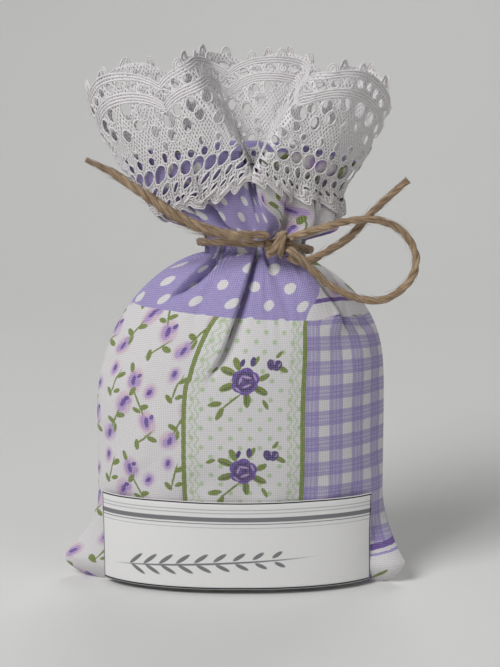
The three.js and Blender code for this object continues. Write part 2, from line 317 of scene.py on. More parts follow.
@dataclass(frozen=True)
class PrintedCotton:
    """Patchwork print on white cotton: dots, posies, a rose strip and a plaid, in millimetres."""

    name: str = "printed cotton"
    white: Colour = (0.77, 0.75, 0.76)
    lilac: Colour = (0.34, 0.28, 0.60)
    plum: Colour = (0.045, 0.012, 0.15)
    violet: Colour = (0.12, 0.045, 0.33)
    mauve: Colour = (0.47, 0.32, 0.62)
    pink: Colour = (0.70, 0.52, 0.62)
    leaf: Colour = (0.165, 0.235, 0.012)
    dark_leaf: Colour = (0.07, 0.10, 0.01)
    sage: Colour = (0.46, 0.60, 0.36)
    halo: Colour = (0.66, 0.55, 0.72)
    check: Colour = (0.31, 0.25, 0.56)
    strip_left: float = -15.0
    strip_right: float = 16.5
    line_width: float = 1.25
    patch_foot: float = 76.0
    patch_rise: float = 0.0012
    rose_pitch: float = 24.6
    rose_height: float = 35.0
    rose_radius: float = 3.6
    posy_cell: tuple[float, float] = (19.0, 24.0)
    posy_shift: tuple[float, float] = (3.0, 9.0)
    blossom: float = 1.3
    corner_left: float = 25.0
    corner_top: float = 5.0
    corner_rise: float = 0.16
    dot_pitch: float = 9.4
    dot_radius: float = 1.42
    speck_pitch: float = 5.2
    check_pitch: float = 7.0
    thread_pitch: float = 0.50
    edge: float = 0.08

    def staggered(self, place: Num, pitch: float) -> Num:
        """Distance from the nearest of many spots, in rows that are offset by half their pitch."""
        first, second = (place.cell((pitch, pitch), (shift, shift)) for shift in (0.0, pitch / 2))
        return first.reach() & second.reach()

    def dots(self, place: Num) -> Num:
        """White dots in offset rows on lilac."""
        mask = self.staggered(place, self.dot_pitch).below(self.dot_radius, 0.16)
        return mask.mix(self.lilac, self.white)

    def sprigs(self, place: Num, cloth: Num | Colour, ovals: tuple, colour: Num | Colour,
               grown: float = 1.0, blur: float = 0.09) -> Num:
        """Paints a group of ovals in one colour over the cloth.

        Args:
            place: Place in the motif's cell.
            cloth: Colour so far.
            ovals: Centre x and y, half-length, half-width and direction of each oval.
            colour: The ovals' colour.
            grown: Factor on the ovals' size.
            blur: Half-width of their soft edges.

        Returns:
            The colour with the ovals on it.
        """
        mask = None
        for x, y, length, width, turn in ovals:
            oval = place.oval((x, y), (grown * length, grown * width), turn, blur)
            mask = mask | oval if mask else oval
        return mask.mix(cloth, colour)

    def posies(self, place: Num) -> Num:
        """Small blossoms and leafy sprigs scattered on white.

        Args:
            place: Place on the cloth.

        Returns:
            The colour.
        """
        local = place.cell(self.posy_cell, self.posy_shift)
        halo = (
            (-1.2, 0.8, 2.5, 1.9, 70), (-6.4, -8.0, 2.1, 1.7, 40), (1.4, 7.3, 2.4, 1.8, 95),
            (6.6, 4.6, 1.6, 1.3, 60), (6.3, -3.6, 2.4, 1.8, 115), (-6.8, 9.6, 1.6, 1.2, 80),
        )
        blush = place.noise(0.05).smooth(0.42, 0.58).mix(self.halo, self.pink)
        cloth = self.sprigs(local, self.white, halo, blush, self.blossom, 0.7)
        stems = (
            (-3.8, -3.4, 4.6, 0.26, 62), (3.4, 1.6, 4.6, 0.26, 118), (5.4, -8.0, 3.4, 0.26, 40),
            (-5.2, 6.0, 3.6, 0.26, 75), (-2.2, -2.6, 1.5, 0.72, 10), (-5.4, -4.4, 1.5, 0.7, 150),
            (-4.2, -6.4, 1.3, 0.6, 80), (1.4, 4.4, 1.5, 0.72, 60), (5.2, 0.4, 1.4, 0.7, 20),
            (3.0, -0.6, 1.3, 0.6, 160), (7.8, -8.0, 1.5, 0.72, -20), (3.4, -9.8, 1.5, 0.7, 95),
            (-6.8, 3.2, 1.4, 0.7, 130), (-3.6, 8.2, 1.5, 0.72, 30), (-0.4, 10.6, 1.4, 0.65, 110),
            (-4.0, 3.8, 1.2, 0.6, 20),
        )
        cloth = self.sprigs(local, cloth, stems, self.leaf)
        petals = (
            (-1.6, 0.4, 1.5, 1.0, 70), (-0.4, 1.6, 1.3, 0.85, 10), (-6.7, -8.4, 1.4, 0.95, 40),
            (-5.7, -7.2, 1.1, 0.75, 110), (0.8, 7.4, 1.6, 1.0, 95), (2.0, 6.7, 1.2, 0.8, 20),
            (6.6, 4.4, 1.3, 0.85, 60), (5.8, -3.7, 1.6, 1.0, 115), (7.0, -2.9, 1.2, 0.8, 40),
            (-6.8, 9.6, 1.2, 0.8, 80),
        )
        cloth = self.sprigs(local, cloth, petals, self.mauve, self.blossom, 0.3)
        eyes = (
            (-1.3, 1.0, 1.0, 0.5, 60), (-0.2, 2.4, 0.6, 0.45, 20), (-6.3, -8.1, 0.9, 0.45, 70),
            (1.1, 7.3, 1.0, 0.5, 100), (2.4, 8.6, 0.55, 0.4, 40), (6.5, 4.5, 0.75, 0.42, 40),
            (6.2, -3.5, 1.0, 0.5, 95), (7.6, -2.0, 0.55, 0.4, 60), (-6.8, 9.8, 0.7, 0.42, 80),
        )
        return self.sprigs(local, cloth, eyes, self.violet, self.blossom)

    def rose(self, place: Num, cloth: Num, centre: tuple[float, float], radius: float) -> Num:
        """Paints one rose over the cloth: dark petals with lighter folds between them.

        Args:
            place: Place on the cloth.
            cloth: Colour so far.
            centre: Middle of the rose.
            radius: Its radius.

        Returns:
            The colour with the rose on it.
        """
        outer = (
            (0.62, 20, 0.52, 0.44), (0.62, 85, 0.50, 0.42), (0.6, 150, 0.54, 0.44), (0.62, 215, 0.5, 0.42),
            (0.6, 275, 0.52, 0.44), (0.6, 330, 0.48, 0.4), (0.0, 0, 0.6, 0.6),
        )
        inner = (
            (0.5, 50, 0.42, 0.26), (0.52, 118, 0.4, 0.24), (0.5, 190, 0.44, 0.26), (0.5, 250, 0.4, 0.24),
            (0.52, 310, 0.42, 0.26), (0.08, 20, 0.26, 0.2),
        )
        folds = (
            (0.34, 80, 0.36, 0.085), (0.36, 165, 0.3, 0.08), (0.36, 290, 0.34, 0.085), (0.76, 25, 0.26, 0.07),
            (0.78, 230, 0.24, 0.07),
        )
        for colour, petals in ((self.violet, outer), (self.plum, inner), (self.mauve, folds)):
            ovals = []
            for share, turn, length, width in petals:
                angle = math.radians(turn)
                x = centre[0] + share * radius * math.cos(angle)
                y = centre[1] + share * radius * math.sin(angle)
                ovals.append((x, y, length * radius, width * radius, turn + 90))
            cloth = self.sprigs(place, cloth, tuple(ovals), colour)
        return cloth

    def strip(self, place: Num) -> Num:
        """Strip of white with sage specks, wavy edges and roses with leaves one above the other.

        Args:
            place: Place on the cloth.

        Returns:
            The colour.
        """
        across, along, _ = place.split()
        specks = self.staggered(place, self.speck_pitch)
        cloth = specks.below(0.62, 0.3).mix(self.white, self.sage)
        wave = (along * 1.9).op("SINE") * 0.5
        middle = (self.strip_left + self.strip_right) / 2
        half = (self.strip_right - self.strip_left) / 2
        for inset in (1.9, 3.4):
            off = abs(abs(across - middle) - (half - inset) + wave)
            cloth = (off.below(0.30, 0.3) * 0.7).mix(cloth, self.sage)
        wide = 200.0
        shift = (wide / 2 - middle, 1.5 * self.rose_pitch - self.rose_height)
        local = place.cell((wide, self.rose_pitch), shift)
        leaves = (
            (-3.6, -5.6, 4.0, 0.26, 40), (-4.7, 2.6, 2.2, 1.0, 160), (-4.6, -1.6, 2.2, 1.0, 200),
            (-2.6, 4.6, 1.9, 0.9, 118), (4.2, -2.4, 2.2, 1.0, -28), (0.8, -4.9, 2.1, 0.95, -85),
            (4.9, 1.2, 1.6, 0.8, 30), (-7.6, -6.2, 1.9, 0.75, 10), (-6.2, -8.8, 1.9, 0.75, 60),
            (9.8, 3.4, 1.6, 0.7, -30), (5.8, -6.2, 1.5, 0.55, -60), (2.4, 5.4, 1.5, 0.6, 60),
            (-8.6, 2.8, 1.3, 0.55, 20), (8.6, 7.4, 1.2, 0.5, 50),
        )
        veins = (
            (-4.7, 2.3, 1.5, 0.25, 160), (-4.6, -1.9, 1.5, 0.25, 200), (4.2, -2.7, 1.5, 0.25, -28),
            (0.6, -4.9, 1.4, 0.25, -85),
        )
        buds = (
            (-1.2, 4.9, 1.1, 0.6, 75), (1.6, 5.3, 1.3, 0.75, 85), (6.5, 4.6, 1.5, 1.1, 110),
            (8.2, 4.4, 1.5, 1.2, 60),
        )
        glints = ((7.4, 5.3, 0.7, 0.16, 95), (8.8, 4.6, 0.6, 0.14, 60))
        for ovals, colour in (
            (leaves, self.leaf), (veins, self.dark_leaf), (buds, self.plum), (glints, self.mauve),
        ):
            cloth = self.sprigs(local, cloth, ovals, colour)
        return self.rose(local, cloth, (0.0, 0.0), self.rose_radius)

    def plaid(self, place: Num) -> Num:
        """Woven-look check: lilac bands on white, darker where they cross, each with a thin pale line.

        Args:
            place: Place on the cloth.

        Returns:
            The colour.
        """
        local = place.cell((self.check_pitch, self.check_pitch), (2.0, 0.0))
        x, y, _ = local.split()
        bands = []
        for off in (abs(x), abs(y)):
            band = 1 - off.below(1.5, 0.16)
            line = abs(off - (self.check_pitch / 2 - 0.55)).below(0.16, 0.12)
            bands.append(band - band * line * 0.5)
        share = (bands[0] | bands[1]) * 0.72 + (bands[0] & bands[1]) * 0.28
        return share.mix(self.white, self.check)

    def shoulder(self, place: Num, across: Num, along: Num, posies: Num) -> Num:
        """Upper part of the cloth: dots to the left, posies above a narrow stripe to the right.

        Args:
            place: Place on the cloth.
            across: Place across the cloth.
            along: Place along it.
            posies: Colour of the posies.

        Returns:
            The colour.
        """
        right = (self.strip_right - across).below(0.0, self.edge)
        cloth = right.mix(self.dots(place), posies)
        bare = abs(along - self.patch_foot - 2.4).below(2.0, 0.12) * right
        cloth = bare.mix(cloth, self.white)
        stripe = abs(along - self.patch_foot - 4.6).below(0.5, 0.12) * right
        return stripe.mix(cloth, self.violet)

    def weave(self, place: Num) -> Num:
        """Height of a plain weave, 0 between the threads and 1 on top of them.

        Args:
            place: Place on the cloth.

        Returns:
            The height.
        """
        warp, weft = ((part * (math.pi / self.thread_pitch)).op("SINE") for part in place.split()[:2])
        over = (warp * weft).op("GREATER_THAN", 0.0)
        return over * abs(warp) + (1 - over) * abs(weft)

    def corner(self, place: Num, cloth: Num, across: Num, along: Num) -> Num:
        """Lower right corner: two lilac stripes and white with a rose below the plaid.

        Args:
            place: Place on the cloth.
            cloth: Colour so far.
            across: Place across the cloth.
            along: Place along it.

        Returns:
            The colour with the corner on it.
        """
        right = (self.corner_left - across).below(0.0, self.edge)
        level = along - across * self.corner_rise
        foot = level.below(self.corner_top, self.edge) * right
        cloth = foot.mix(cloth, self.white)
        for height, half, colour in ((4.4, 0.8, self.violet), (2.4, 0.3, self.lilac)):
            stripe = abs(level - height).below(half, 0.1) * right
            cloth = stripe.mix(cloth, colour)
        leaves = ((31.6, 0.2, 2.0, 0.85, 190), (33.4, -3.6, 1.9, 0.8, 240), (39.4, 2.8, 1.8, 0.75, 50))
        cloth = self.sprigs(place, cloth, leaves, self.leaf)
        return self.rose(place, cloth, (36.0, -0.4), 3.0)

    def material(self) -> Material:
        """Makes the printed cotton's material.

        Returns:
            The material.
        """
        paint = Paint(self.name, roughness=0.9, sheen=0.2)
        raw = paint.surface_mm()
        wobble = raw.noise(0.9)
        place = paint.vector("ADD", raw, paint.join(wobble * 0.4 - 0.2, 0.2 - wobble * 0.4))
        across, along, _ = place.split()
        colour = self.strip(place)
        right = (self.strip_right - across).below(0.0, self.edge)
        colour = right.mix(colour, self.plaid(place))
        left = across.below(self.strip_left, self.edge)
        posies = self.posies(place)
        colour = left.mix(colour, posies)
        for line in (self.strip_left, self.strip_right):
            stripe = abs(across - line).below(self.line_width / 2, 0.12)
            colour = stripe.mix(colour, self.leaf)
        colour = self.corner(place, colour, across, along)
        level = along - across * across * self.patch_rise
        upper = (self.patch_foot - level).below(0.0, 0.1)
        colour = upper.mix(colour, self.shoulder(place, across, level, posies))
        weave = self.weave(raw)
        grain = raw.noise(1.1, 3.0)
        faded = (weave * 0.6 + grain * 0.7).smooth(0.5, 1.0)
        colour = (faded * 0.22).mix(colour, self.white)
        # Painted shade: the print's colour is darkened between the threads, following the weave's height.
        shade = weave * 0.40 + 0.62
        paint.feed("Base Color", paint.vector("MULTIPLY", colour, paint.join(shade, shade, shade)))
        paint.relief(weave, 0.45, 0.00014)
        return paint.material


@dataclass(frozen=True)
class PlainFibre:
    """White cotton yarn, as in the lace and the sewing thread."""

    name: str = "lace yarn"
    colour: Colour = (0.80, 0.78, 0.78)
    shade: Colour = (0.66, 0.63, 0.65)

    def material(self) -> Material:
        """Makes the yarn's material.

        Returns:
            The material.
        """
        paint = Paint(self.name, roughness=0.85, sheen=0.3)
        place = paint.object_mm()
        fibre = place.noise(3.2, 3.0)
        paint.feed("Base Color", fibre.mix(self.shade, self.colour))
        paint.relief(fibre, 0.5, 0.00015)
        return paint.material


@dataclass(frozen=True)
class LaceCloth:
    """Close crossed threads of the lace with small gaps between them, in millimetres."""

    name: str = "lace cloth"
    colour: Colour = (0.80, 0.78, 0.78)
    shade: Colour = (0.52, 0.50, 0.53)
    pitch: float = 0.86
    lean: float = 0.6
    gap: float = 0.50

    def material(self) -> Material:
        """Makes the lace cloth's material; its UV map is the flat lace.

        Returns:
            The material.
        """
        paint = Paint(self.name, roughness=0.9, sheen=0.3)
        place = paint.surface_mm()
        waver = place.noise(0.55) * 0.9
        along, up, _ = place.split()
        turn = math.pi / self.pitch
        right = abs(((along + up * self.lean + waver) * turn).op("SINE"))
        left = abs(((along - up * self.lean - waver) * turn).op("SINE"))
        height = right | left
        fibre = place.noise(3.0, 3.0)
        # Painted shade: the yarn darkens from the thread crowns towards the gaps between the crossed threads,
        # mixed with random fibre tone.
        tone = (height * 0.8 + fibre * 0.3).smooth(0.45, 1.0)
        paint.feed("Base Color", tone.mix(self.shade, self.colour))
        paint.feed("Alpha", height.smooth(self.gap, self.gap + 0.12))
        paint.relief(height, 0.8, 0.00030)
        return paint.material


@dataclass(frozen=True)
class JuteFibre:
    """Loosely spun jute: pale and dark fibres along the strand."""

    name: str = "jute twine"
    pale: Colour = (0.46, 0.335, 0.215)
    brown: Colour = (0.19, 0.12, 0.07)

    def material(self) -> Material:
        """Makes the twine's material; u runs along a ply and v round it.

        Returns:
            The material.
        """
        paint = Paint(self.name, roughness=0.9, sheen=0.25)
        place = paint.surface_mm()
        streaks = paint.vector("MULTIPLY", place, (0.35, 3.2, 1.0)).noise(1.0, 4.0)
        patches = paint.object_mm().noise(0.22, 2.0)
        tone = (streaks * 0.85 + patches * 0.3).smooth(0.36, 0.78)
        paint.feed("Base Color", tone.mix(self.brown, self.pale))
        paint.relief(streaks, 0.8, 0.00025)
        return paint.material


@dataclass(frozen=True)
class DriedBuds:
    """Dried lavender buds inside the bag."""

    name: str = "dried buds"
    bud: Colour = (0.17, 0.12, 0.26)
    husk: Colour = (0.24, 0.20, 0.16)

    def material(self) -> Material:
        """Makes the filling's material.

        Returns:
            The material.
        """
        paint = Paint(self.name, roughness=1.0)
        place = paint.object_mm()
        cells = paint.node("ShaderNodeTexVoronoi", {}, {"Vector": place, "Scale": 0.35}, "Distance")
        paint.feed("Base Color", cells.mix(self.bud, self.husk))
        paint.relief(1 - cells, 0.8, 0.0008)
        return paint.material


@dataclass(frozen=True)
class LabelPaper:
    """Smooth white paper with a thin border, ruled lines at the top and a plain sprig."""

    width: float
    height: float
    name: str = "label paper"
    back_name: str = "label back"
    paper: Colour = (0.80, 0.795, 0.79)
    ink: Colour = (0.02, 0.02, 0.022)
    grey: Colour = (0.20, 0.20, 0.21)
    pale_grey: Colour = (0.50, 0.50, 0.51)

    def material(self) -> Material:
        """Makes the label's material; its UV map runs from the middle of the paper.

        Returns:
            The material.
        """
        paint = Paint(self.name, roughness=0.55)
        place = paint.surface_mm()
        across, up, _ = place.split()
        half_width = self.width * 500
        half_height = self.height * 500
        fibre = place.noise(1.6, 3.0)
        colour = fibre.mix(shaded(self.paper, 0.96), self.paper)
        for below_top, half, tint in (
            (2.2, 0.16, self.pale_grey), (3.1, 0.16, self.pale_grey), (4.9, 0.62, self.grey),
            (6.1, 0.12, self.grey), (7.2, 0.1, self.pale_grey),
        ):
            line = abs(up - (half_height - below_top)).below(half, 0.07)
            colour = line.mix(colour, tint)
        sprig = self.sprig(place)
        colour = sprig.mix(colour, self.grey)
        edge = (half_width - abs(across)) & (half_height - abs(up))
        colour = abs(edge - 0.35).below(0.2, 0.06).mix(colour, self.ink)
        paint.feed("Base Color", colour)
        paint.relief(fibre, 0.15, 0.0001)
        return paint.material

    def plain(self) -> Material:
        """Makes the bare paper of the label's back and edges.

        Returns:
            The material.
        """
        paint = Paint(self.back_name, roughness=0.55)
        fibre = paint.object_mm().noise(1.6, 3.0)
        paint.feed("Base Color", fibre.mix(shaded(self.paper, 0.96), self.paper))
        return paint.material

    def sprig(self, place: Num) -> Num:
        """Mask of a stem with paired leaves, lying along the lower left of the label.

        Args:
            place: Place on the paper.

        Returns:
            The mask.
        """
        mask = place.oval((-6.0, -5.2), (21.0, 0.26), 4)
        for step in range(9):
            x = -24.0 + 4.3 * step
            y = -6.4 + 0.3 * step
            length = 2.5 - 0.14 * step
            mask = mask | place.oval((x, y + 1.5), (length, 0.52), 38)
            mask = mask | place.oval((x + 0.6, y - 1.3), (length, 0.5), -30)
        return mask


def new_mesh(name: str, points: Array, faces: list, uvs: Array | None = None) -> Piece:
    """Makes a smooth-shaded mesh object at the origin.

    Args:
        name: Name of the piece.
        points: Its vertices.
        faces: Vertex numbers of each face.
        uvs: UV of each vertex, if the material needs them.

    Returns:
        The object, linked to the scene.
    """
    mesh = bpy.data.meshes.new(name)
    mesh.from_pydata(points.tolist(), [], faces)
    mesh.polygons.foreach_set("use_smooth", np.ones(len(mesh.polygons), dtype=bool))
    if uvs is not None:
        corners = np.empty(len(mesh.loops), dtype=np.int32)
        mesh.loops.foreach_get("vertex_index", corners)
        layer = mesh.uv_layers.new(name="cloth")
        layer.data.foreach_set("uv", uvs[corners].ravel())
    mesh.update()
    piece = bpy.data.objects.new(name, mesh)
    bpy.context.scene.collection.objects.link(piece)
    return piece


def apply_modifier(piece: Piece, kind: str, **settings: float) -> None:
    """Adds one modifier to a piece and applies it.

    Args:
        piece: The piece.
        kind: The modifier's type.
        settings: Its properties.
    """
    bpy.ops.object.select_all(action="DESELECT")
    piece.select_set(True)
    bpy.context.view_layer.objects.active = piece
    modifier = piece.modifiers.new(kind.title(), kind)
    for key, value in settings.items():
        setattr(modifier, key, value)
    bpy.ops.object.modifier_apply(modifier=modifier.name)


def dress(piece: Piece, node: str, slot: str, *finishes: Material, body: str | None = "bag") -> Piece:
    """Gives a piece its finishes and its place in the frame.

    Args:
        piece: The piece.
        node: The solid it stands for.
        slot: The record's material slot; not used.
        finishes: Its materials, in the order of its slots.
        body: The body it rides on, or none to leave it unattached.

    Returns:
        The piece.
    """
    for finish in finishes:
        piece.data.materials.append(finish)
    if body:
        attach(piece, body)
    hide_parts(node)
    return piece


def grid_faces(columns: int, rows: int) -> list[tuple[int, int, int, int]]:
    """Quads of a grid of points that is stored row by row."""
    corner = (np.arange(rows - 1)[:, None] * columns + np.arange(columns - 1)).ravel()
    return np.stack([corner, corner + 1, corner + columns + 1, corner + columns], axis=1).tolist()


@dataclass
class Tubes:
    """Round threads gathered into one mesh."""

    points: list[Array] = field(default_factory=list)
    faces: list[list[int]] = field(default_factory=list)
    uvs: list[Array] = field(default_factory=list)
    count: int = 0

    def add(self, line: Array, radius: Array | float, sides: int, up: Array) -> None:
        """Adds one closed thread along a line.

        Args:
            line: Points of its centre line.
            radius: Its radius, for the whole line or for each point.
            sides: Sides of its section.
            up: A direction for each point that the section is turned by.
        """
        steps = len(line)
        along = unit(np.gradient(line, axis=0))
        across = unit(np.cross(along, up))
        upward = np.cross(across, along)
        radius = np.broadcast_to(np.asarray(radius, dtype=float), (steps,))
        angle = 2 * np.pi * np.arange(sides) / sides
        ring = np.cos(angle)[:, None] * across[:, None] + np.sin(angle)[:, None] * upward[:, None]
        points = line[:, None] + radius[:, None, None] * ring
        length = travelled(line)
        girth = 2 * np.pi * float(radius.mean()) * np.arange(sides) / sides
        uv = np.stack(np.broadcast_arrays(length[:, None], girth), axis=-1)
        start = self.count + np.arange(steps - 1)[:, None] * sides
        here = start + np.arange(sides)
        there = start + (np.arange(sides) + 1) % sides
        quads = np.stack([here, there, there + sides, here + sides], axis=-1).reshape(-1, 4)
        self.points.append(points.reshape(-1, 3))
        self.uvs.append(uv.reshape(-1, 2))
        self.faces.extend(quads.tolist())
        first = self.count + np.arange(sides)
        self.faces += [first[::-1].tolist(), (first + (steps - 1) * sides).tolist()]
        self.count += steps * sides

    def piece(self, name: str) -> Piece:
        """Makes the gathered threads one object."""
        return new_mesh(name, np.concatenate(self.points), self.faces, np.concatenate(self.uvs))


@dataclass(frozen=True)
class Tuck:
    """A fold in the stuffed cloth, seen from the front: the cloth to the left of a line lies on top.

    The line runs down in x and z. Hidden is the cloth lost in the fold, from the taken half of the print.
    """

    route: tuple[tuple[float, float], ...]
    depth: float
    width: float
    lip: float
    fade: float = 0.5
    hidden: float = 0.0
    taken: Half = Half.LEFT
    lip_edge: float = 0.00045
    lip_reach: float = 2.4
    slide_reach: float = 2.0
    grown_over: float = 0.015

    def push(self, x: Array, z: Array) -> tuple[Array, Array, Array]:
        """How far the fold moves the cloth.

        Args:
            x: Places across.
            z: Heights.

        Returns:
            Outward distances, negative in the fold's bottom, and shifts in x and z towards the fold.
        """
        place = np.stack([x, z], axis=-1)
        points = np.array(self.route)
        before = travelled(points)
        found = []
        for start, end, passed, length in zip(points[:-1], points[1:], before, np.diff(before)):
            line = end - start
            t = np.clip(((place - start) @ line) / (line @ line), 0.0, 1.0)
            away = place - (start + t[..., None] * line)
            distance = np.linalg.norm(away, axis=-1)
            side = np.sign(line[0] * away[..., 1] - line[1] * away[..., 0])
            share = (passed + t * length) / before[-1]
            right = (-line[1] / length, line[0] / length)
            found.append(np.broadcast_arrays(distance, side * distance, share, *right))
        found = np.array(found)
        nearest = found[:, :1].argmin(axis=0)[None]
        best, signed, share, right_x, right_z = np.take_along_axis(found, nearest, axis=0)[0]
        fade = 1 - ramp(share, self.fade, 1.0)
        width = self.width * (0.45 + 0.55 * fade)
        top = 0.5 - 0.5 * np.tanh(signed / self.lip_edge)
        lifted = self.lip * top * np.exp(-((best / (self.lip_reach * self.width)) ** 2))
        sunk = (1 - top) * np.exp(-((best / width) ** 1.4))
        slide = np.exp(-((best / (self.slide_reach * self.width)) ** 2)) * self.width * min(1.0, 2 * self.lip)
        slide = fade * top * slide
        return fade * self.depth * (lifted - sunk), slide * right_x, slide * right_z

    def beyond(self, x: Array, z: Array) -> Array:
        """Cloth hidden by the fold, as a shift of the print on its outer side.

        Args:
            x: Places across.
            z: Heights.

        Returns:
            The shifts.
        """
        points = np.array(self.route)
        at = np.interp(z, points[::-1, 1], points[::-1, 0])
        foot = points[-1, 1]
        grown = ramp(z, foot, foot + self.grown_over)
        edge = 0.0004 + 0.0050 * ramp(z, points[0, 1], points[0, 1] + 0.006)
        sign = self.taken.value
        return sign * self.hidden * grown * (0.5 + 0.5 * np.tanh(sign * (x - at) / edge))


@dataclass(frozen=True)
class BagForm:
    """Form of the filled bag and of the ruffle above its tie."""

    body_width: float = 0.078
    body_depth: float = 0.034
    bulge_height: float = 0.042
    base_width: float = 0.080
    base_depth: float = 0.025
    base_seam_inset: float = 0.003
    corner_width: float = 0.090
    corner_height: float = 0.006
    corner_reach: float = 0.020
    corner_pinch: float = 1.7
    pinch_reach: float = 0.024
    tie_height: float = 0.0925
    tie_slope: float = 0.07
    tie_tilt: float = 0.2
    slope_below: float = 0.045
    slope_above: float = 0.020
    neck_width: float = 0.027
    neck_depth: float = 0.020
    neck_band: float = 0.005
    neck_shift: float = 0.0040
    shoulder_fullness: int = 3
    shoulder_roundness: float = 0.74
    flare_roundness: float = 0.6
    neck_pleats: int = 7
    neck_pleat_share: float = 0.5
    plain_share: float = 0.12
    gather_below: float = 0.010
    gather_below_more: float = 0.014
    gather_above: float = 0.019
    gather_above_more: float = 0.008
    flounce: float = 0.004
    flounce_full: float = 0.003
    flounce_end: float = 0.016
    mouth_width: float = 0.080
    mouth_depth: float = 0.024
    mouth_drop: float = 0.010
    cloth_above_tie: float = 0.0265
    lobe_depth: float = 0.0070
    pleat_depth: float = 0.0080
    pleat_place: float = 0.535
    pleat_start: float = 0.0165
    pleat_half_width: float = 0.0205
    pleat_least_opening: float = 0.10
    pleat_floor_share: float = 0.60
    pleat_brim_share: float = 1.25
    pleat_roll: float = 0.0032
    roll_share: float = 1.15
    roll_width: float = 0.24
    ripple: float = 0.0008
    back_lobes: int = 3
    back_lobe_depth: float = 0.005
    seam_gap: float = 0.00002
    lace_foot_above_tie: float = 0.0195
    lace_width: float = 0.031
    lace_sag_left: float = 0.014
    lace_sag_right: float = 0.0105
    lace_sag_reach: float = 0.22

    @property
    def neck_bottom(self) -> float:
        """Height where the shoulders meet the neck."""
        return self.tie_height - self.neck_band / 2

    @property
    def neck_top(self) -> float:
        """Height where the ruffle starts."""
        return self.tie_height + self.neck_band / 2

    @property
    def lace_foot(self) -> float:
        """Mean height of the lace's lower edge."""
        return self.tie_height + self.lace_foot_above_tie

    @property
    def lace_top(self) -> float:
        """Height of the lace's highest points."""
        return self.lace_foot + self.lace_width

    def shoulder(self, height: Array) -> Array:
        """Share of the full body left at a height: 1 up to the bulge, 0 at the neck."""
        share = np.clip((height - self.bulge_height) / (self.neck_bottom - self.bulge_height), 0.0, 1.0)
        return (1 - share**self.shoulder_fullness) ** self.shoulder_roundness

    def flare(self, height: Array) -> Array:
        """Share of the ruffle's spread reached at a height."""
        share = np.clip((height - self.neck_top) / (self.lace_top - self.neck_top), 0.0, 1.0)
        return share**self.flare_roundness

    def half_width(self, height: Array) -> Array:
        """Half the width from seam to seam at a height.

        Args:
            height: Heights.

        Returns:
            Half the width at each.
        """
        rise = np.sin(np.pi / 2 * np.clip(height / self.corner_height, 0.0, 1.0))
        low = lerp(self.base_width, self.corner_width, rise)
        fade = np.clip(1 - (height - self.corner_height) / self.corner_reach, 0.0, 1.0) ** 2
        middle = lerp(self.neck_width, self.body_width, self.shoulder(height))
        middle = middle + (self.corner_width - self.body_width) * fade
        top = lerp(self.neck_width, self.mouth_width, self.flare(height))
        above = height - self.neck_top
        full = ramp(above, 0.0, self.flounce_full) * (1 - ramp(above, self.flounce_full, self.flounce_end))
        top = top + 2 * self.flounce * full
        return np.where(height < self.corner_height, low, np.where(height > self.neck_top, top, middle)) / 2

    def half_depth(self, height: Array) -> Array:
        """Half the depth from front to back at a height, before folds.

        Args:
            height: Heights.

        Returns:
            Half the depth at each.
        """
        rise = np.sin(np.pi / 2 * np.clip(height / self.bulge_height, 0.0, 1.0))
        low = lerp(self.base_depth, self.body_depth, rise)
        middle = lerp(self.neck_depth, self.body_depth, self.shoulder(height))
        top = lerp(self.neck_depth, self.mouth_depth, self.flare(height))
        return np.where(height < self.bulge_height, low, np.where(height > self.neck_top, top, middle)) / 2

    def pinch(self, height: Array) -> Array:
        """Exponent that brings the section to an edge at the base corners."""
        share = ramp(height, self.corner_height, self.corner_height + self.pinch_reach)
        return lerp(self.corner_pinch, 1.0, share)

    def slant(self, height: Array) -> Array:
        """Share of the tie's slope that the cloth follows at a height."""
        reach = np.where(height < self.tie_height, self.slope_below, self.slope_above)
        return np.cos(np.pi / 2 * np.clip((height - self.tie_height) / reach, -1.0, 1.0)) ** 2

    def gathers(self, side: Side, across: Array, height: Array) -> Array:
        """Share by which the gathered cloth is drawn in towards the neck's middle.

        Args:
            side: The face of the bag.
            across: Shares across the face.
            height: Heights.

        Returns:
            The shares.
        """
        swing = 0.030 * np.sin(2 * np.pi * (2.3 * across + 0.1 * side.value))
        swing = swing + 0.014 * np.sin(2 * np.pi * (5.1 * across + 0.35))
        wave = 0.5 - 0.5 * np.cos(2 * np.pi * self.neck_pleats * (across + swing))
        uneven = 0.62 + 0.38 * np.sin(2 * np.pi * (3.1 * across + 0.2 * side.value))
        long = 0.5 + 0.5 * np.sin(2 * np.pi * (2.7 * across + 0.15))
        low = self.tie_height - self.gather_below - self.gather_below_more * long
        high = self.tie_height + self.gather_above + self.gather_above_more * long
        below = ramp(height, low, self.tie_height - 0.001) ** 1.4
        above = (1 - ramp(height, self.tie_height + 0.002, high)) ** 1.2
        edges = np.clip(np.minimum(across, 1 - across) / 0.05, 0.0, 1.0)
        share = np.where(height < self.tie_height, self.plain_share if side is Side.FRONT else 1.0, 1.0)
        return self.neck_pleat_share * share * np.minimum(below, above) * uneven * edges * wave**2.0

    def ruffle(self, side: Side, across: Array, height: Array) -> tuple[Array, Array]:
        """Outward and sideways shift of the ruffle's lobes and pleats.

        Args:
            side: The face of the bag.
            across: Shares across the face.
            height: Heights.

        Returns:
            The outward shifts and the sideways ones.
        """
        spread = ramp(height, self.neck_top, self.lace_top)
        ripple = self.ripple * spread * np.sin(2 * np.pi * (5.3 * across + 0.25))
        if side is Side.BACK:
            wave = np.cos(2 * np.pi * self.back_lobes * (across - 0.5))
            return self.back_lobe_depth * spread * wave + ripple, np.zeros_like(spread)
        foot = self.tie_height + self.pleat_start
        opening = np.clip((height - foot) / (self.lace_top - foot), self.pleat_least_opening, 1.0)
        offset = (across - self.pleat_place) * np.pi * self.mouth_width / 2
        reach = np.abs(offset) / (self.pleat_half_width * opening)
        inside = 1 - ramp(reach, self.pleat_floor_share, self.pleat_brim_share)
        roll = np.exp(-(((reach - self.roll_share) / self.roll_width) ** 2))
        roll = roll * -np.sign(offset) * self.pleat_roll * spread
        return spread * lerp(self.lobe_depth, -self.pleat_depth, inside) + ripple, roll

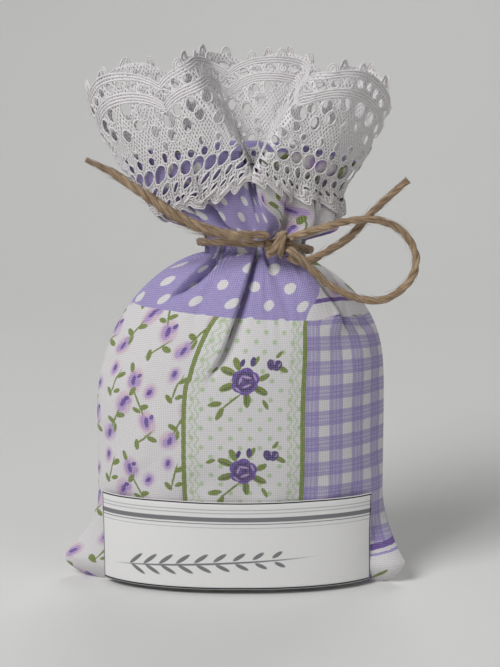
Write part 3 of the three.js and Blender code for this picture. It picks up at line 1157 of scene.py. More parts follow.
    def point(self, side: Side, across: Array, height: Array) -> Array:
        """Places on one face of the bag.

        Args:
            side: The face.
            across: 0 at its left seam to 1 at its right seam, seen from that side.
            height: Heights before the tie's slope and the drop of the ruffle's sides.

        Returns:
            Points on the cloth's outer face.
        """
        across, height = np.broadcast_arrays(across, height)
        angle = np.pi * across
        drawn = 1 - self.gathers(side, across, height)
        folds, roll = self.ruffle(side, across, height)
        rise = np.clip(np.sin(angle), 0.0, 1.0)
        bulge = rise ** self.pinch(height)
        x = -self.half_width(height) * np.cos(angle) * drawn + roll
        y = -(self.seam_gap / 2 + (self.half_depth(height) + folds) * bulge * drawn)
        slant = self.slant(height)
        x = side.value * x + self.neck_shift * slant
        y = side.value * y
        z = height - (self.tie_slope * x + self.tie_tilt * y) * slant
        z = z - self.mouth_drop * (1 - rise) * ramp(height, self.neck_top, self.lace_top)
        return np.stack([x, y, z], axis=-1)

    def lace_height(self, side: Side, across: Array, up: Array) -> Array:
        """Heights on the ruffle of places above the lace's foot, which sags away from the pleat.

        Args:
            side: The face of the bag.
            across: Shares across the face.
            up: Distances above the foot.

        Returns:
            The heights.
        """
        offset = side.value * (across - 0.5) + 0.5 - self.pleat_place
        sag = np.where(offset < 0, self.lace_sag_left, self.lace_sag_right)
        sag = sag * (1 - np.exp(-np.abs(offset) / self.lace_sag_reach))
        return self.lace_foot + up - sag * np.clip(1 - up / self.lace_width, 0.0, 1.1)

    def outward(self, side: Side, across: Array, height: Array) -> Array:
        """Outward directions of the cloth.

        Args:
            side: The face of the bag.
            across: Shares across the face.
            height: Heights.

        Returns:
            Directions of length 1.
        """
        step_across, step_up = 0.002, 0.0003
        right = self.point(side, np.clip(across + step_across, 0.0, 1.0), height)
        left = self.point(side, np.clip(across - step_across, 0.0, 1.0), height)
        upper = self.point(side, across, height + step_up)
        lower = self.point(side, across, height - step_up)
        return unit(np.cross(right - left, upper - lower))

    def cloth_across(self, across: Array) -> Array:
        """Distance across the flat cloth from its middle, where the bag is fullest.

        Args:
            across: Shares across the face.

        Returns:
            The distances.
        """
        fine = np.linspace(0.0, 1.0, 721)
        x = -self.body_width / 2 * np.cos(np.pi * fine)
        y = self.body_depth / 2 * np.sin(np.pi * fine)
        length = travelled(np.stack([x, y], axis=-1))
        return np.interp(across, fine, length - length[-1] / 2)


@dataclass(frozen=True)
class Settling:
    """How stuffed cloth settles: it is cut wider than the tie has room for, and the filling presses on it."""

    columns: int = 121
    rows: int = 84
    low: float = 0.026
    scale: float = 10.0
    spare: float = 0.30
    pressure: float = 10.0
    bending: float = 1.0
    frames: int = 16
    fade_low: float = 0.012
    fade_high: float = 0.004
    fade_side: float = 0.3

    def moves(self, start: Array, loose: Array) -> Array:
        """Lets a net of points settle as cloth that is held along its edges.

        Args:
            start: Rows of points on one face of the bag.
            loose: Share of the spare cloth that each row has.

        Returns:
            How far each point moves.
        """
        rows, columns = start.shape[:2]
        net = new_mesh("settling", start.reshape(-1, 3) * self.scale, grid_faces(columns, rows))
        index = np.arange(rows * columns).reshape(rows, columns)
        edge = np.concatenate([index[0], index[-1], index[1:-1, 0], index[1:-1, -1]])
        net.vertex_groups.new(name="held").add(edge.tolist(), 1.0, "REPLACE")
        spare = net.vertex_groups.new(name="spare")
        for row, share in zip(index, loose):
            spare.add(row.tolist(), float(share), "REPLACE")
        cloth = net.modifiers.new("settle", "CLOTH")
        for setting, value in (
            ("quality", 6), ("mass", 0.05), ("tension_stiffness", 15.0), ("compression_stiffness", 15.0),
            ("shear_stiffness", 5.0), ("bending_stiffness", self.bending), ("vertex_group_mass", "held"),
            ("vertex_group_shrink", "spare"), ("shrink_min", 0.0), ("shrink_max", -self.spare),
            ("use_pressure", True), ("uniform_pressure_force", self.pressure),
        ):
            setattr(cloth.settings, setting, value)
        cloth.settings.effector_weights.gravity = 0.0
        cloth.collision_settings.use_collision = False
        for frame in range(1, self.frames + 1):
            bpy.context.scene.frame_set(frame)
        done = net.evaluated_get(bpy.context.evaluated_depsgraph_get()).data
        places = np.empty(3 * rows * columns)
        done.vertices.foreach_get("co", places)
        bpy.data.objects.remove(net)
        bpy.context.scene.frame_set(1)
        return places.reshape(start.shape) / self.scale - start


@lru_cache(maxsize=None)
def settle(bag: "Bag", side: Side) -> Array:
    """How far one face of the bag moves as its cloth settles, for the net of the bag's settling.

    Args:
        bag: The bag.
        side: Its face.

    Returns:
        A row of moves for each height of the net.
    """
    form, way = bag.form, bag.settling
    height = np.linspace(way.low, form.neck_bottom, way.rows)
    start = bag.creased(side, np.linspace(0.0, 1.0, way.columns), height)[0]
    return way.moves(start, 1 - form.shoulder(height))


@dataclass(frozen=True)
class Bag:
    """The stuffed bag: two printed panels with their creases, and the lavender inside."""

    form: BagForm
    settling: Settling = Settling()
    columns: int = 221
    base_rows: int = 8
    body_rows: int = 168
    ruffle_rows: int = 40
    cloth: float = 0.0004
    seam_inset: float = 0.0007
    fill_inset: float = 0.0012
    fill_top: float = 0.080
    ripple: float = 0.0005
    fine_ripple: float = 0.0002
    left_fade: tuple[float, float] = (0.098, 0.114)
    right_fade: tuple[float, float] = (0.0955, 0.104)
    pleat_hidden: float = 0.010
    pleat_edge: float = 0.016
    left_ear: float = 0.0040
    right_ear: float = 0.0070
    ear_height: tuple[float, float] = (0.003, 0.022)
    ear_place: tuple[float, float] = (0.030, 0.045)
    tucks: tuple[Tuck, ...] = (
        Tuck(((-0.0040, 0.0950), (-0.0065, 0.0925), (-0.0131, 0.0860), (-0.0205, 0.0785)),
             depth=0.0052, width=0.0024, lip=0.25, fade=0.55, hidden=0.009),
        Tuck(((-0.0070, 0.0935), (-0.0133, 0.0905), (-0.0213, 0.0865)),
             depth=0.0022, width=0.0013, lip=0.25, fade=0.6, hidden=0.004),
        Tuck(((0.0040, 0.0940), (0.0026, 0.0899), (-0.0021, 0.0750), (-0.0055, 0.0657), (-0.0098, 0.0572)),
             depth=0.0044, width=0.0016, lip=0.35, fade=0.66, hidden=0.010),
        Tuck(((0.0062, 0.0930), (0.0070, 0.0890), (0.0090, 0.0862)), depth=0.0040, width=0.0026, lip=0.0),
        Tuck(((0.0110, 0.0920), (0.0158, 0.0880), (0.0224, 0.0798), (0.0296, 0.0701)),
             depth=0.0040, width=0.0017, lip=0.45, fade=0.7, hidden=0.010, taken=Half.RIGHT),
        Tuck(((0.0170, 0.0905), (0.0240, 0.0850), (0.0300, 0.0780)),
             depth=0.0016, width=0.0014, lip=0.35, hidden=0.005, taken=Half.RIGHT),
    )

    def heights(self) -> Array:
        """Heights of the cloth's rows, closest at the base and at the neck.

        Returns:
            The heights, from the base up.
        """
        form = self.form
        body = form.neck_bottom * (1 - np.cos(np.pi * np.linspace(0.0, 1.0, self.body_rows))) / 2
        top = form.tie_height + form.cloth_above_tie
        ruffle = np.linspace(form.neck_bottom + 0.0006, top, self.ruffle_rows)
        return np.concatenate([body, ruffle])

    def front_place(self, side: Side, points: Array, height: Array) -> tuple[Array, Array]:
        """Places across and heights the points would have at the front, where the tie stands higher.

        Args:
            side: The face of the bag.
            points: Points of the cloth.
            height: Their heights before the tie's slope.

        Returns:
            The places and the heights.
        """
        slant = self.form.slant(height)
        shift = self.form.neck_shift * slant
        rise = 2 * self.form.tie_tilt * np.maximum(points[..., 1], 0.0) * slant
        return side.value * (points[..., 0] - shift) + shift, points[..., 2] + rise

    def settled(self, side: Side, across: Array, height: Array) -> Array:
        """How far the cloth has moved in settling, faded out at the seams, the tie and the label.

        Args:
            side: The face of the bag.
            across: Shares across the face.
            height: Heights.

        Returns:
            A row of moves for each height.
        """
        way, form = self.settling, self.form
        across, height = np.broadcast_arrays(across[None, :], height[:, None])
        moves = looked_up(settle(self, side), (height - way.low) / (form.neck_bottom - way.low), across)
        share = ramp(height, way.low, way.low + way.fade_low)
        share = share * (1 - ramp(height, form.neck_bottom - way.fade_high, form.neck_bottom))
        return moves * (share * ramp(np.sin(np.pi * across), 0.0, way.fade_side))[..., None]

    def creased(self, side: Side, across: Array, height: Array) -> tuple[Array, Array]:
        """Points of the cloth with its folds, in one row for each height, and their outward directions.

        Args:
            side: The face of the bag.
            across: Shares across the face.
            height: Heights.

        Returns:
            The points and the directions.
        """
        form = self.form
        across, height = np.broadcast_arrays(across[None, :], height[:, None])
        points = form.point(side, across, height)
        out = form.outward(side, across, height)
        x, z = self.front_place(side, points, height)
        push, slide_x, slide_z = (sum(parts) for parts in zip(*(tuck.push(x, z) for tuck in self.tucks)))
        soft = self.ripple * np.sin(150 * x + 2.0) * np.sin(110 * z + 0.6)
        soft = soft + self.fine_ripple * np.sin(420 * x - 300 * z)
        body = ramp(height, 0.004, 0.02) * (1 - ramp(height, form.neck_bottom - 0.002, form.neck_top))
        body = body * ramp(np.sin(np.pi * across), 0.0, 0.35)
        points = points + out * ((push + soft) * body)[..., None]
        points[..., 0] += side.value * slide_x * body
        points[..., 2] += slide_z * body
        return points, out

    def surface(self, side: Side, across: Array, height: Array, inset: float) -> Array:
        """Points of the creased and settled cloth.

        Args:
            side: The face of the bag.
            across: Shares across the face.
            height: Heights of the rows.
            inset: Distance inside the cloth's outer face.

        Returns:
            One row of points for each height.
        """
        points, out = self.creased(side, across, height)
        points = points + self.settled(side, across, height) - out * inset
        inner = points[1:-1, 1:-1]
        near = points[1:-1, :-2] + points[1:-1, 2:] + points[:-2, 1:-1] + points[2:, 1:-1]
        points[1:-1, 1:-1] = 0.5 * inner + 0.125 * near
        low = 1 - ramp(points[..., 2], *self.ear_height)
        left = low * ramp(-points[..., 0], *self.ear_place)
        right = low * ramp(points[..., 0], *self.ear_place)
        points[..., 0] -= self.left_ear * left
        points[..., 1] -= self.right_ear * right
        points[..., 2] = np.maximum(points[..., 2], inset)
        return points

    def print_across(self, side: Side, across: Array) -> Array:
        """Where the cloth's points lie across the flat print, with what the folds hide left out.

        Args:
            side: The face of the bag.
            across: Shares across the face.

        Returns:
            One row of distances from the print's middle for each height.
        """
        form = self.form
        height = self.heights()[:, None]
        points = form.point(side, across[None, :], height)
        angle = np.pi * across[None, :]
        x = -form.half_width(height) * np.cos(angle)
        y = form.half_depth(height) * np.clip(np.sin(angle), 0.0, 1.0) ** form.pinch(height)
        steps = np.hypot(np.diff(x, axis=1), np.diff(y, axis=1))
        arc = np.concatenate([np.zeros((len(steps), 1)), np.cumsum(steps, axis=1)], axis=1)
        arc = arc - arc[:, [self.columns // 2]]
        place, front = self.front_place(side, points, height)
        hidden = sum(tuck.beyond(place, front) for tuck in self.tucks)
        start, end = (np.where(hidden < 0, *ends) for ends in zip(self.left_fade, self.right_fade))
        hidden = hidden * (1 - ramp(front, start, end))
        if side is Side.FRONT:
            pleated = ramp(height, form.tie_height + 0.001, form.tie_height + 0.009)
            beyond = 0.5 + 0.5 * np.tanh((across[None, :] - form.pleat_place) / self.pleat_edge)
            hidden = hidden + self.pleat_hidden * pleated * beyond
        cloth = form.cloth_across(across)
        spare_left = (cloth[0] - arc[:, :1]) / np.minimum(hidden[:, :1], -0.0001)
        spare_right = (cloth[-1] - arc[:, -1:]) / np.maximum(hidden[:, -1:], 0.0001)
        hidden = hidden * np.clip(np.where(hidden < 0, spare_left, spare_right), 0.0, 2.0)
        left = (cloth[0] - hidden[:, :1]) / arc[:, :1]
        right = (cloth[-1] - hidden[:, -1:]) / arc[:, -1:]
        return arc * np.where(arc < 0, left, right) + hidden

    def panel(self, side: Side, name: str, node: str, finish: Material) -> Piece:
        """Builds and dresses one panel of the bag.

        Args:
            side: The face of the bag.
            name: Name of the piece.
            node: The solid it stands for.
            finish: The printed cotton.

        Returns:
            The panel.
        """
        form = self.form
        across = np.linspace(0.0, 1.0, self.columns)
        points = self.surface(side, across, self.heights(), 0.0)
        seam = points[0].copy()
        seam[:, 0] *= 1 - form.base_seam_inset / (form.base_width / 2)
        seam[:, 1] *= 0.01
        share = np.linspace(0.0, 1.0, self.base_rows, endpoint=False)[:, None, None]
        grid = np.concatenate([lerp(seam[None], points[0][None], share), points])
        rows = len(grid)
        flat = self.print_across(side, across)
        flat = np.concatenate([np.repeat(flat[:1], self.base_rows, axis=0), flat])
        middle = form.point(side, np.linspace(0.4, 0.6, 9)[None, :], self.heights()[:, None]).mean(axis=1)
        under = np.linspace(-form.base_depth / 2, 0.0, self.base_rows, endpoint=False)
        up = np.broadcast_to(np.concatenate([under, travelled(middle)])[:, None], flat.shape)
        uvs = np.stack([flat, up], axis=-1)
        piece = new_mesh(name, grid.reshape(-1, 3), grid_faces(self.columns, rows), uvs.reshape(-1, 2))
        apply_modifier(piece, "SOLIDIFY", thickness=self.cloth, offset=-1.0)
        dress(piece, node, "printed_cotton", finish)
        return piece

    def seam(self, finish: Material) -> Piece:
        """Builds and dresses the line of sewing inside the side seams and along the base.

        Args:
            finish: The sewing thread.

        Returns:
            The sewing.
        """
        height = np.linspace(0.0025, self.form.neck_bottom - 0.005, 60)
        sides = self.surface(Side.FRONT, np.array([0.0, 1.0]), height, self.seam_inset)
        reach = self.form.base_width / 2 - self.form.base_seam_inset
        x = np.linspace(-reach, reach, 30)
        base = np.stack([x, np.zeros_like(x), np.full_like(x, self.seam_inset)], axis=-1)
        line = smooth_route(np.concatenate([sides[::-1, 0], base, sides[:, 1]]), 0.001)
        tubes = Tubes()
        tubes.add(line, 0.0002, 6, np.broadcast_to((0.0, 1.0, 0.0), line.shape))
        return dress(tubes.piece("seam_stitching"), "seam_thread", "sewing_thread", finish)

    def filling(self, finish: Material) -> Piece:
        """Builds and dresses the lavender that fills the bag below its neck.

        Args:
            finish: The dried buds.

        Returns:
            The filling.
        """
        across = np.linspace(0.0, 1.0, 81)
        height = self.fill_top * (1 - np.cos(np.pi * np.linspace(0.0, 1.0, 60))) / 2
        front = self.surface(Side.FRONT, across, height, self.fill_inset)
        back = self.surface(Side.BACK, across, height, self.fill_inset)
        grid = np.concatenate([front, back[:, 1:]], axis=1)
        rows, columns = grid.shape[:2]
        middle = grid.mean(axis=1)
        points = np.concatenate([grid.reshape(-1, 3), middle[:1], middle[-1:]])
        faces = grid_faces(columns, rows)
        last = (rows - 1) * columns
        for column in range(columns - 1):
            faces.append((column + 1, column, rows * columns))
            faces.append((last + column, last + column + 1, rows * columns + 1))
        piece = new_mesh("lavender_buds", points, faces)
        apply_modifier(piece, "WELD", merge_threshold=0.0001)
        return dress(piece, "lavender_fill", "dried_lavender", finish)


@dataclass(frozen=True)
class Hole:
    """An opening in the lace, in the repeat's own length and height."""

    along: float
    up: float
    half_along: float
    half_up: float


@dataclass(frozen=True)
class LaceTable:
    """Where even lengths of the flat lace fall across one face of the ruffle, at several heights."""

    low: float
    high: float
    across: Array
    length: float

    def share(self, along: Array, up: Array) -> Array:
        """Shares across the face for places on the flat lace."""
        return looked_up(self.across, (up - self.low) / (self.high - self.low), along / self.length)


@lru_cache(maxsize=None)
def lace_table(form: BagForm, side: Side) -> LaceTable:
    """Spreads the flat lace evenly along one face of the ruffle.

    Args:
        form: Form of the bag.
        side: The face of the ruffle.

    Returns:
        The table for that face.
    """
    across = np.linspace(0.0, 1.0, 1201)
    low, high = -0.002, form.lace_width + 0.004
    at_pleat = form.pleat_place if side is Side.FRONT else 1 - form.pleat_place
    spreads = []
    lengths = []
    for up in np.linspace(low, high, 19):
        line = form.point(side, across, form.lace_height(side, across, up))
        spreads.append(travelled(line[:, :2]))
        lengths.append(travelled(line)[-1])
    turns = [np.interp(at_pleat, across, spread) for spread in spreads]
    middle = float(np.mean([turn / spread[-1] for turn, spread in zip(turns, spreads)]))
    even = np.linspace(0.0, 1.0, 601)
    rows = [np.interp(np.interp(even, [0.0, middle, 1.0], [0.0, turn, spread[-1]]), spread, across)
            for turn, spread in zip(turns, spreads)]
    return LaceTable(low, high, np.array(rows), float(np.mean(lengths)))


@dataclass(frozen=True)
class Lace:
    """Bobbin lace on one face of the ruffle: close threads, ringed holes, scallops and picots."""

    form: BagForm
    side: Side
    repeats: int = 4
    phase: float = 0.06
    thread: float = 0.00023
    ring_thread: float = 0.00023
    border_thread: float = 0.00026
    thickness: float = 0.00025
    step: float = 0.00036
    stand_off: float = 0.0009
    scallop: float = 0.0042
    foot_wave: float = 0.0009
    edge_holes: int = 9
    edge_hole_drop: float = 0.0026
    hole_shift: tuple[float, float] = (0.00028, 0.00022)
    hole_growth: tuple[float, float] = (0.15, 0.13)
    edge_threads: tuple[float, ...] = (0.0, 0.0006, 0.0012, 0.0040, 0.0046, 0.0052, 0.0058)
    foot_threads: tuple[float, ...] = (0.0, 0.0006, 0.0012, 0.0018)
    picots: tuple[float, ...] = (-0.27, 0.0, 0.27)
    picot_height: float = 0.0024
    picot_half_width: float = 0.00105

    @property
    def length(self) -> float:
        """Flat length of the lace."""
        return lace_table(self.form, self.side).length

    @property
    def width(self) -> float:
        """Mean width of the lace from foot to edge."""
        along, up = np.meshgrid(np.linspace(0.0, self.length, 41), np.linspace(0.0, self.form.lace_width, 21))
        points = self.place(along.ravel(), up.ravel(), 0.0)[0].reshape(21, 41, 3)
        return float(np.linalg.norm(np.diff(points, axis=0), axis=-1).sum(axis=0).mean())

    @property
    def repeat(self) -> float:
        """Length of one scallop."""
        return self.length / self.repeats

    def holes(self) -> list[Hole]:
        """Openings of one repeat, from the foot to the scallop; 0 and 1 are the valleys beside it.

        Returns:
            The openings.
        """
        one = self.repeat
        made = [
            Hole(0.0, 0.0164, 0.00130, 0.00135), Hole(0.0, 0.0198, 0.00165, 0.00205),
            Hole(0.0, 0.0240, 0.00240, 0.00175), Hole(0.5 * one, 0.0184, 0.00110, 0.00156),
        ]
        for count, up, half_along, half_up, start in (
            (9, 0.0030, 0.00078, 0.00072, 0.5), (7, 0.0058, 0.00118, 0.00112, 0.0),
            (6, 0.0090, 0.00175, 0.00172, 0.5), (6, 0.0119, 0.00108, 0.00105, 0.0),
            (5, 0.0142, 0.00095, 0.00098, 0.5),
        ):
            made += [Hole((index + start) / count * one, up, half_along, half_up) for index in range(count)]
        for off, up, half_along, half_up in (
            (0.09, 0.0236, 0.00137, 0.00188), (0.25, 0.0222, 0.00124, 0.00182),
            (0.17, 0.0197, 0.00104, 0.00143), (0.31, 0.0180, 0.00104, 0.00143),
            (0.40, 0.0213, 0.00091, 0.00130),
        ):
            made += [Hole((0.5 + sign * off) * one, up, half_along, half_up) for sign in (-1, 1)]
        for index in range(self.edge_holes):
            along = (index + 0.5) / self.edge_holes * one
            up = self.top(along - self.phase * one) - self.edge_hole_drop
            made.append(Hole(along, up, 0.00102, 0.00106))
        uneven = np.sin(np.outer(np.arange(len(made)), (7.3, 5.1, 12.9, 3.7)))
        uneven = uneven * (*self.hole_shift, *self.hole_growth)
        return [
            Hole(hole.along + right, hole.up + high, hole.half_along * (1 + wide), hole.half_up * (1 + tall))
            for hole, (right, high, wide, tall) in zip(made, uneven)
        ]

    def top(self, along: Array) -> Array:
        """Height of the scalloped edge above the foot."""
        arch = np.abs(np.sin(np.pi * (np.asarray(along) / self.repeat + self.phase))) ** 0.7
        return self.form.lace_width - self.scallop * (1 - arch)

    def foot(self, along: Array) -> Array:
        """Height of the wavy lower edge."""
        return self.foot_wave * np.cos(10 * np.pi * np.asarray(along) / self.repeat)

    def in_hole(self, along: Array, up: Array) -> Array:
        """True inside a hole of any repeat.

        Args:
            along: Places along the flat lace.
            up: Heights above its foot.

        Returns:
            True or false for each place.
        """
        inside = np.zeros(along.shape, dtype=bool)
        place = np.mod(along + self.phase * self.repeat, self.repeat)
        for hole in self.holes():
            x = np.abs(place - hole.along)
            x = np.minimum(x, self.repeat - x) / hole.half_along
            y = (up - hole.up) / hole.half_up
            inside |= x * x + y * y < 1.0
        return inside

    def lay(self, tubes: Tubes, along: Array, up: Array, lift: float, radius: float) -> None:
        """Lays one thread of the flat lace on the ruffle, lifted from the lace's middle layer."""
        line, out = self.place(along, up, lift)
        tubes.add(line, radius, 4, out)

    def place(self, along: Array, up: Array, lift: Array | float) -> tuple[Array, Array]:
        """Points of the flat lace on the ruffle and their outward directions.

        Args:
            along: Places along the flat lace.
            up: Heights above its foot.
            lift: Distance from the lace's middle layer.

        Returns:
            The points and the directions.
        """
        share = lace_table(self.form, self.side).share(along, up)
        height = self.form.lace_height(self.side, share, up)
        out = self.form.outward(self.side, share, height)
        lift = np.broadcast_to(self.stand_off + lift, np.shape(along))
        return self.form.point(self.side, share, height) + out * lift[:, None], out

    def ground(self, name: str) -> tuple[Piece, float]:
        """Makes the close cloth of the lace, and the share of it left between its holes and edges.

        Args:
            name: Name of the piece.

        Returns:
            The cloth and the share.
        """
        columns = int(self.length / self.step)
        rows = int(self.form.lace_width / self.step)
        along, up = np.meshgrid(
            np.linspace(0.0, self.length, columns),
            np.linspace(-self.foot_wave, self.form.lace_width, rows),
        )
        points, _ = self.place(along.ravel(), up.ravel(), 0.0)
        faces = np.array(grid_faces(columns, rows))
        middle_along = along.ravel()[faces].mean(axis=1)
        middle_up = up.ravel()[faces].mean(axis=1)
        keep = (middle_up > self.foot(middle_along)) & (middle_up < self.top(middle_along))
        keep &= ~self.in_hole(middle_along, middle_up)
        used, faces = np.unique(faces[keep], return_inverse=True)
        uvs = np.stack([along.ravel(), up.ravel()], axis=-1)
        piece = new_mesh(name, points[used], faces.reshape(-1, 4).tolist(), uvs[used])
        apply_modifier(piece, "SOLIDIFY", thickness=self.thickness, offset=0.0)
        return piece, float(keep.mean())

    def rings(self, tubes: Tubes) -> None:
        """Adds the thread round every hole.

        Args:
            tubes: Where the threads are added.
        """
        for repeat in range(-1, self.repeats + 1):
            for hole in self.holes():
                middle = (repeat - self.phase) * self.repeat + hole.along
                if hole.half_along < middle < self.length - hole.half_along:
                    angle = np.linspace(0.0, 2 * np.pi, 11 if hole.half_up < 0.0012 else 15)
                    along = middle + (hole.half_along + self.ring_thread * 0.4) * np.cos(angle)
                    up = hole.up + (hole.half_up + self.ring_thread * 0.4) * np.sin(angle)
                    self.lay(tubes, along, up, self.thread * 0.4, self.ring_thread)

    def borders(self, tubes: Tubes) -> None:
        """Adds the foot, the edge braid, the trail under it and the picots.

        Args:
            tubes: Where the threads are added.
        """
        along = np.linspace(0.0, self.length, 280)
        for drop in self.edge_threads:
            self.lay(tubes, along, self.top(along) - drop, self.thread * 0.6, self.border_thread)
        for rise in self.foot_threads:
            self.lay(tubes, along, self.foot(along) + rise, self.thread * 0.6, self.border_thread)
        for repeat in range(self.repeats + 1):
            for shift in self.picots:
                middle = (repeat + 0.5 - self.phase + shift) * self.repeat
                if 0.001 < middle < self.length - 0.001:
                    self.picot(tubes, middle)

    def picot(self, tubes: Tubes, middle: float) -> None:
        """Adds one pointed loop of thread on the scalloped edge.

        Args:
            tubes: Where the threads are added.
            middle: Its place along the lace.
        """
        share = np.linspace(-1.0, 1.0, 11)
        along = middle + self.picot_half_width * np.sin(share * np.pi * 0.5) * (0.55 + 0.45 * np.abs(share))
        foot = self.top(middle)
        up = foot - 0.0003 + self.picot_height * (1 - np.abs(share) ** 2.2)
        self.lay(tubes, along, up, self.thread * 0.6, self.border_thread)
        inner = middle + 0.5 * (along - middle)
        self.lay(tubes, inner, foot + 0.72 * (up - foot), self.thread * 0.6, self.ring_thread)

    def build(self, name: str, node: str, panel: str, cloth: Material, yarn: Material) -> list[Piece]:
        """Builds and dresses the lace.

        Args:
            name: Name of the piece.
            node: The solid it stands for.
            panel: The cloth it is sewn to; not used.
            cloth: Finish of the close threads between the holes.
            yarn: Finish of the thick threads round the holes and along the edges.

        Returns:
            The lace's ground and its thick threads.
        """
        ground, left = self.ground(name)
        tubes = Tubes()
        self.rings(tubes)
        self.borders(tubes)
        threads = tubes.piece(f"{name}_threads")
        for piece, finish in ((ground, cloth), (threads, yarn)):
            dress(piece, node, "cotton_lace", finish)
        self.length
        self.width
        left * self.length * self.width
        return [ground, threads]


def smooth_route(points: list[Point] | Array, step: float) -> Array:
    """Even points along a smooth curve through given points.

    Args:
        points: Points that the curve passes through.
        step: Distance between the returned points.

    Returns:
        Points along the curve.
    """
    knots = np.asarray(points, dtype=float)
    ends = np.concatenate([[2 * knots[0] - knots[1]], knots, [2 * knots[-1] - knots[-2]]])
    fine = []
    for a, b, c, d in zip(ends[:-3], ends[1:-2], ends[2:-1], ends[3:]):
        t0 = 0.0
        t1 = t0 + math.sqrt(np.linalg.norm(b - a))
        t2 = t1 + math.sqrt(np.linalg.norm(c - b))
        t3 = t2 + math.sqrt(np.linalg.norm(d - c))
        t = np.linspace(t1, t2, 24, endpoint=False)[:, None]
        ab = ((t1 - t) * a + (t - t0) * b) / (t1 - t0)
        bc = ((t2 - t) * b + (t - t1) * c) / (t2 - t1)
        cd = ((t3 - t) * c + (t - t2) * d) / (t3 - t2)
        abc = ((t2 - t) * ab + (t - t0) * bc) / (t2 - t0)
        bcd = ((t3 - t) * bc + (t - t1) * cd) / (t3 - t1)
        fine.append(((t2 - t) * abc + (t - t1) * bcd) / (t2 - t1))
    line = np.concatenate([*fine, knots[-1:]])
    length = travelled(line)
    even = np.linspace(0.0, length[-1], max(2, int(round(length[-1] / step)) + 1))
    return np.stack([np.interp(even, length, line[:, axis]) for axis in range(3)], axis=-1)


@dataclass(frozen=True)
class Strand:
    """How thick a stretch of twine is along its length, and how much it frays."""

    start: float = 1.0
    middle: float = 1.0
    end: float = 1.0
    fibres: int = 60

    def girth(self, share: Array) -> Array:
        """Thickness at a share of the length, as a factor."""
        early, late = lerp(self.start, self.middle, 0.6), lerp(self.middle, self.end, 0.6)
        return np.interp(share, [0.0, 0.15, 0.5, 0.85, 1.0], [self.start, early, self.middle, late, self.end])


